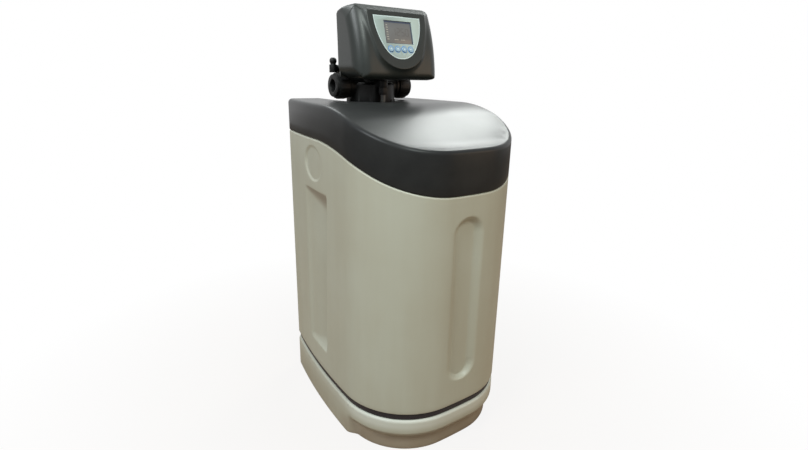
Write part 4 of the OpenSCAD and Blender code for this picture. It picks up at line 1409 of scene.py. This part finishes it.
@dataclass
class Display:
    """Display behind the panel: four digits, a column of level bars, and dark bars of painted shade
    along the window's edge.
    """

    face: Face
    width: float = 60.0
    height: float = 41.0
    middle_v: float = 30.4
    glass_h: float = 2.4
    digits: str = "1250"
    digit_w: float = 6.2
    digit_h: float = 13.0
    stroke: float = 1.3
    edges: Rgba = (3.2, 0.9, 0.9, 2.0)
    bar_t: float = 0.06
    digit_gap: float = 3.4
    digits_at: Pair = (4.5, 1.0)
    trim: float = 0.8
    scale_count: int = 7
    scale_at: Pair = (6.0, -12.5)
    scale_gap: float = 4.2
    scale_size: Pair = (5.0, 1.6)
    scale_fall: float = 0.25
    marks: Row = (-6.0, 8.0)
    mark_v: float = -13.0
    mark_size: Pair = (9.0, 1.2)
    shade_gap: float = 0.3
    shade_clip: float = 0.1
    lit: dict[str, str] = field(
        default_factory=lambda: {"0": "abcdef", "1": "bc", "2": "abged", "5": "acdfg"}
    )

    def bar(
        self, made: Skin, x: float, v: float, w: float, h: float, clip: float = 0.42
    ) -> None:
        """Adds one thin bar on the glass.

        Args:
            made: The mesh that it goes into.
            x: Its middle, right of the face's middle.
            v: Its middle, up the face.
            w: Its width.
            h: Its height.
            clip: Share of its lesser size by which its corners are clipped.
        """
        spot = self.face.matrix(x, v, self.glass_h + self.bar_t / 2)
        shape = spot @ Matrix.Diagonal((w * MM, h * MM, self.bar_t * MM, 1))
        cube = bmesh.ops.create_cube(made, size=1.0, matrix=shape)["verts"]
        edges = {e for end in cube for e in end.link_edges}
        upright = [e for e in edges if e.calc_length() < 1.5 * self.bar_t * MM]
        bevel(made, upright, min(w, h) * clip)

    def numbers(self) -> Skin:
        """The digits of the reading, as bars."""
        made = bmesh.new()
        w, h = self.digit_w, self.digit_h
        spots = {
            "a": (0, h / 2, w, 0), "b": (w / 2, h / 4, 0, h / 2), "c": (w / 2, -h / 4, 0, h / 2),
            "d": (0, -h / 2, w, 0), "e": (-w / 2, -h / 4, 0, h / 2), "f": (-w / 2, h / 4, 0, h / 2),
            "g": (0, 0, w, 0),
        }
        for k, digit in enumerate(self.digits):
            x0 = (k - (len(self.digits) - 1) / 2) * (w + self.digit_gap) + self.digits_at[0]
            for name in self.lit[digit]:
                x, v, sx, sv = spots[name]
                wide, tall = (
                    max(s - self.stroke * self.trim, self.stroke) for s in (sx, sv)
                )
                self.bar(made, x0 + x, self.middle_v + self.digits_at[1] + v, wide, tall)
        return made

    def scale(self) -> Skin:
        """The column of level bars on the left, and two short bars under the digits."""
        made = bmesh.new()
        x, low = self.scale_at[0] - self.width / 2, self.middle_v + self.scale_at[1]
        wide, tall = self.scale_size
        for k in range(self.scale_count):
            self.bar(made, x, low + self.scale_gap * k, wide - self.scale_fall * k, tall)
        for x in self.marks:
            self.bar(made, x, self.middle_v + self.mark_v, *self.mark_size)
        return made

    def rim(self) -> Skin:
        """Painted shade along the window's edge: dark bars, wider at the top and on the right,
        where the walls of the recess and the shade inside it show.
        """
        made = bmesh.new()
        w, h = self.width - self.shade_gap, self.height - self.shade_gap
        top, low, left, right = self.edges
        side, mid = h - top - low, (low - top) / 2
        for x, v, sx, sv in (
            (0, h / 2 - top / 2, w, top), (0, -h / 2 + low / 2, w, low),
            (w / 2 - right / 2, mid, right, side), (-w / 2 + left / 2, mid, left, side),
        ):
            self.bar(made, x, self.middle_v + v, sx, sv, self.shade_clip)
        return made

    def dress(self) -> None:
        """Places digits, bars and the painted window shade on the glass."""
        place("display_digits", self.numbers(), Surface.SEGMENT, "cabinet")
        place("display_bars", self.scale(), Surface.MARK, "cabinet")
        place("display_window_shade", self.rim(), Surface.WINDOW_SHADE, "cabinet")


@dataclass
class Buttons:
    """Four dished buttons, each with a printed ring round it on the panel."""

    face: Face
    count: int = 4
    gap: float = 14.5
    radius: float = 5.0
    top_h: float = 5.2
    foot_h: float = -4.5
    panel_h: float = 3.6
    stem: Pair = (1.5, 5.2)
    flange: Pair = (1.4, 1.6)
    dish: Pairs = (
        (0.0, 0.9), (0.12, 0.45), (0.42, 0.14), (0.9, 0.0), (1.5, 0.06), (2.1, 0.28), (3.0, 0.42),
    )
    dish_deep: float = 0.5
    pip_form: Pairs = (
        (0.0, 0.6), (1.7, 0.6), (1.7, 0.34), (1.45, 0.2), (0.0, 0.12),
    )
    ring_grow: Pair = (0.4, 1.5)
    ring_h: Pair = (-0.05, 0.08)

    def cap(self) -> Skin:
        """One button: flange below the panel, straight wall, rounded edge, dished top."""
        r, top, foot = self.radius, self.top_h, self.foot_h
        (stem, long), (wide, thick) = self.stem, self.flange
        profile = [(0, foot - long), (stem, foot - long), (stem, foot), (r + wide, foot)]
        profile += [(r + wide, foot + thick), (r, foot + thick)]
        profile += [(r - inset, top - down) for inset, down in self.dish]
        return turned([*profile, (0, top - self.dish_deep)])

    def pip(self) -> Skin:
        """Pale raised pip in the dish."""
        return turned([(r, self.top_h - down) for r, down in self.pip_form], 32)

    def ring(self) -> Skin:
        """Printed ring on the panel round a button."""
        inner, outer = (self.radius + grow for grow in self.ring_grow)
        low, high = (self.panel_h + h for h in self.ring_h)
        return turned([(inner, low), (outer, low), (outer, high), (inner, high), (inner, low)])

    def dress(self) -> None:
        """Places the buttons on their bodies and the rings on the panel."""
        for k in range(self.count):
            spot = self.face.matrix((k - (self.count - 1) / 2) * self.gap, 0, 0)
            body = f"button_{k + 1}"
            parts = (
                (f"button_cap_{k + 1}", self.cap(), Surface.BUTTON, body, [body]),
                (f"button_pip_{k + 1}", self.pip(), Surface.BUTTON_FACE, body, []),
                (f"button_ring_{k + 1}", self.ring(), Surface.BUTTON_RING, "cabinet", []),
            )
            for name, made, surface, on, replaced in parts:
                made.transform(spot)
                place(name, made, surface, on, replaced)


@dataclass
class Fittings:
    """CAD pieces whose shapes stay, merged and with their sharp edges broken."""

    broken: dict[str, float] = field(
        default_factory=lambda: {
            "valve_body": 0.7, "inlet_union": 0.7, "outlet_union": 0.7, "drain_elbow": 0.4,
            "drain_nut": 0.6, "brine_nut": 0.5, "injector_cap": 0.6, "back_plate": 0.4,
            "power_socket": 0.4, "plate_screws": 0.4, "trim_strip": 0.4, "display_panel": 0.15,
            "lcd_window": 0.15, "overflow_elbow": 0.4, "overflow_nut": 0.5, "overflow_gasket": 0.3,
            "brine_well_cap": 0.5, "tank_boot": 0.6, "gear_motor": 0.4, "disc_gland": 0.3,
        }
    )

    merge: float = 2e-6
    flat: float = 0.4
    sharp: float = 35.0
    crease: float = 30.0

    def soften(self, node: bpy.types.Object, width: float) -> Skin:
        """Copies a node's mesh, merges it and bevels its sharp edges.

        Args:
            node: The CAD node's object.
            width: Width of the bevel in millimetres.

        Returns:
            The softened copy.
        """
        made = bmesh.new()
        made.from_mesh(node.data)
        bmesh.ops.remove_doubles(made, verts=made.verts, dist=self.merge)
        bmesh.ops.dissolve_limit(
            made,
            angle_limit=math.radians(self.flat),
            verts=made.verts,
            edges=made.edges,
            use_dissolve_boundaries=False,
        )
        limit = math.radians(self.sharp)
        inner = (e for e in made.edges if len(e.link_faces) == 2)
        bevel(made, [e for e in inner if e.calc_face_angle(0.0) > limit], width, clamp=True)
        return made

    def dress(self, nodes: dict[str, bpy.types.Object], surfaces: dict[str, Surface]) -> None:
        """Places the softened pieces instead of their CAD nodes."""
        for name, width in self.broken.items():
            made = self.soften(nodes[name], width)
            place(f"{name}_piece", made, surfaces[name], "cabinet", [name], self.crease)


@dataclass
class BrineHose:
    """Brine tube from the nut under the head to the riser in the well, on its CAD route."""

    radius: float = 4.75
    sides: int = 24
    between: int = 8
    route: Triples = (
        (-8, 51.5, 649), (-8, 51.5, 621), (-8, 51.5, 600), (-8, 51.5, 576), (-4, 45, 560),
        (10, 28, 550), (34, 11, 544), (62, -4, 541), (88, -15, 538), (106, -19, 531),
        (112, -20, 520), (112, -20, 508), (112, -20, 490), (112, -20, 456),
    )

    def curve(self) -> list[Vector]:
        """Points of a smooth line through the route."""
        ends = [Vector(p) for p in self.route]
        knots = [ends[0], *ends, ends[-1]]
        line = []
        for a, b, c, d in zip(knots, knots[1:], knots[2:], knots[3:]):
            for k in range(self.between):
                t = k / self.between
                square, cube = 2 * a - 5 * b + 4 * c - d, 3 * b - a - 3 * c + d
                line.append(0.5 * (2 * b + (c - a) * t + square * t * t + cube * t**3))
        return line + [ends[-1]]

    def build(self) -> Skin:
        """Wraps the tube round the line and closes its ends, which sit in their fittings."""
        line = self.curve()
        side = Vector((1, 0, 0))
        turns = [math.tau * s / self.sides for s in range(self.sides)]
        rows = []
        for k, p in enumerate(line):
            along = (line[min(k + 1, len(line) - 1)] - line[max(k - 1, 0)]).normalized()
            side = (side - along * side.dot(along)).normalized()
            up = along.cross(side)
            rows.append([p + (side * math.cos(a) + up * math.sin(a)) * self.radius for a in turns])
        return wrap(rows, capped=True)

    def dress(self) -> None:
        """Places the tube instead of its CAD node."""
        place("brine_hose", self.build(), Surface.HOSE, "cabinet", ["brine_tube"])


SURFACE_NODES: dict[Surface, str] = {
    Surface.CREAM: "cabinet_shell base_tray",
    Surface.TRIM: "trim_strip",
    Surface.LID: "salt_lid",
    Surface.HEAD: "head_cover back_plate",
    Surface.FITTING: "valve_body inlet_union outlet_union drain_elbow drain_nut brine_nut"
    " injector_cap overflow_elbow overflow_nut power_socket disc_gland tank_boot drive_gear",
    Surface.HOSE: "brine_tube",
    Surface.PANEL: "display_panel",
    Surface.DISPLAY: "lcd_window lcd_module",
    Surface.BUTTON: "button_1 button_2 button_3 button_4",
    Surface.BOARD: "circuit_board",
    Surface.WHITE: "salt_grid brine_well brine_well_cap brine_riser float_rod brine_float"
    " riser_tube bottom_strainer top_strainer motor_pinion",
    Surface.DARK: "air_check_cage flow_impeller",
    Surface.TANK: "resin_tank",
    Surface.RESIN: "resin_bed",
    Surface.SEAL: "neck_seal overflow_gasket",
    Surface.CERAMIC: "fixed_disc moving_disc",
    Surface.STEEL: "gear_motor plate_screws",
}
NODE_SURFACES: dict[str, Surface] = {
    name: surface for surface, names in SURFACE_NODES.items() for name in names.split()
}


@dataclass(frozen=True)
class Lamp:
    """An area lamp: its place, the point that it faces and its sizes are metres."""

    name: str
    at: Triple
    aim: Triple
    size: Pair
    watts: float
    colour: Rgb

    def hang(self) -> None:
        """Adds the lamp to the scene."""
        data = bpy.data.lights.new(self.name, "AREA")
        data.shape, data.energy = "RECTANGLE", self.watts
        data.size, data.size_y = self.size
        data.color = paint_colour(self.colour)[:3]
        lamp = link(self.name, data)
        lamp.location = self.at
        ahead = Vector(self.aim) - Vector(self.at)
        lamp.rotation_euler = ahead.to_track_quat("-Z", "Y").to_euler()


@dataclass
class Studio:
    """Camera, soft lamps, pale floor and white surroundings.

    The lamps are a key from the left, a strip that the head's front mirrors, a soft box over
    the right rear, one from the rear and a warm fill from the right front.
    """

    eye: Triple = (-537.3, -778.8, 667.2)
    yaw: float = -0.615
    pitch: float = 0.300
    roll: float = 0.022
    focal_px: float = 489.4
    frame_px: float = 808.0
    sensor: float = 36.0
    clip: Pair = (0.01, 60.0)
    white: Rgba = (1.0, 1.0, 1.0, 1.0)
    soft: Rgb = (250, 250, 250)
    soft_share: float = 0.22
    floor_half: float = 6.0
    floor_tone: Rgb = (168, 150, 132)
    floor_fade: Rgba = (0.25, 0.9, 0.88, 1.0)
    lamps: tuple[Lamp, ...] = (
        Lamp("key", (-2.1, -0.5, 2.5), (0, 0, 0.35), (1.2, 1.2), 66, (246, 253, 255)),
        Lamp("strip", (-0.316, -1.319, 2.074), (-0.06, 0, 0.73), (0.4, 0.5), 22, (244, 255, 250)),
        Lamp("over", (1.318, 0.823, 1.92), (0, -0.1, 0.57), (0.5, 0.9), 20, (250, 255, 252)),
        Lamp("rear", (-0.1, 1.7, 2.1), (-0.1, 0, 0.58), (0.6, 0.6), 9, (248, 255, 255)),
        Lamp("fill", (1.7, -1.9, 0.9), (0, 0, 0.3), (1.2, 1.2), 9, (255, 206, 150)),
    )

    def camera(self) -> None:
        """Sets the camera where the photograph was taken from."""
        data = bpy.data.cameras.new("camera")
        data.sensor_fit = "HORIZONTAL"
        data.sensor_width = self.sensor
        data.lens = self.focal_px * self.sensor / self.frame_px
        data.clip_start, data.clip_end = self.clip
        data.dof.use_dof = False
        camera = link("camera", data)
        bpy.context.scene.camera = camera
        cy, sy = math.cos(self.yaw), math.sin(self.yaw)
        cp, sp = math.cos(self.pitch), math.sin(self.pitch)
        ahead = Vector((-sy * cp, cy * cp, -sp))
        right = Vector((cy, sy, 0))
        up = right.cross(ahead)
        across = right * math.cos(self.roll) + up * math.sin(self.roll)
        above = up * math.cos(self.roll) - right * math.sin(self.roll)
        turn = Matrix((across, above, -ahead)).transposed().to_4x4()
        camera.matrix_world = Matrix.Translation(Vector(self.eye) * MM) @ turn

    def surroundings(self) -> None:
        """Makes the world white to the camera and in mirrors, and a soft light for the rest."""
        world = bpy.data.worlds.new("surroundings")
        bpy.context.scene.world = world
        graph = Graph(world)
        shown = graph.ray("Camera").most(graph.ray("Glossy")).most(graph.ray("Transmission"))
        soft = {0: paint_colour(self.soft), 1: self.soft_share}
        plain = graph.node("ShaderNodeBackground", None, soft)
        white = graph.node("ShaderNodeBackground", None, {0: self.white, 1: 1.0})
        mixed = graph.node("ShaderNodeMixShader", None, {0: shown, 1: plain, 2: white})
        graph.show("ShaderNodeOutputWorld", mixed)

    def floor(self) -> None:
        """Lays a pale floor that is near white to the camera and keeps a soft shadow."""
        made = bmesh.new()
        bmesh.ops.create_grid(made, x_segments=1, y_segments=1, size=self.floor_half)
        mesh = settle("floor", made)
        floor = link("floor", mesh)
        material = bpy.data.materials.new("floor")
        graph = Graph(material)
        length = {"operation": "LENGTH"}
        away = graph.node("ShaderNodeVectorMath", length, {0: graph.point()}, "Value")
        fade = graph.node("ShaderNodeMapRange", None, dict(enumerate((away, *self.floor_fade))))
        matt = graph.node("ShaderNodeBsdfDiffuse", None, {0: paint_colour(self.floor_tone)})
        glow = graph.node("ShaderNodeEmission", None, {0: self.white, 1: 1.0})
        share = graph.ray("Camera") * fade
        mixed = graph.node("ShaderNodeMixShader", None, {0: share, 1: matt, 2: glow})
        graph.show("ShaderNodeOutputMaterial", mixed)
        mesh.materials.append(material)

    def set_up(self) -> None:
        """Builds the whole studio."""
        bpy.context.scene.view_settings.view_transform = "Standard"
        self.camera()
        for lamp in self.lamps:
            lamp.hang()
        self.surroundings()
        self.floor()


def main() -> None:
    """Loads the frame, sets the studio and builds every sub-assembly in order."""
    logging.basicConfig(level=logging.INFO, format="%(name)s: %(message)s")
    for old in list(bpy.data.objects):
        bpy.data.objects.remove(old)
    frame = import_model()
    Studio().set_up()
    for name, node in frame["nodes"].items():
        node.data.materials.clear()
        node.data.materials.append(NODE_SURFACES[name].value.material())
        log.info("%s: %s", name, NODE_SURFACES[name].value.name)
    plan, lines, face = Plan(), Lines(), Face()
    assemblies = [
        Cabinet(plan, lines),
        BaseTub(plan),
        Lid(plan, lines),
        ControlHead(face, Shield()),
        Display(face),
        Buttons(face),
        BrineHose(),
    ]
    for assembly in assemblies:
        assembly.dress()
    Fittings().dress(frame["nodes"], NODE_SURFACES)


if __name__ == "__main__":
    main()
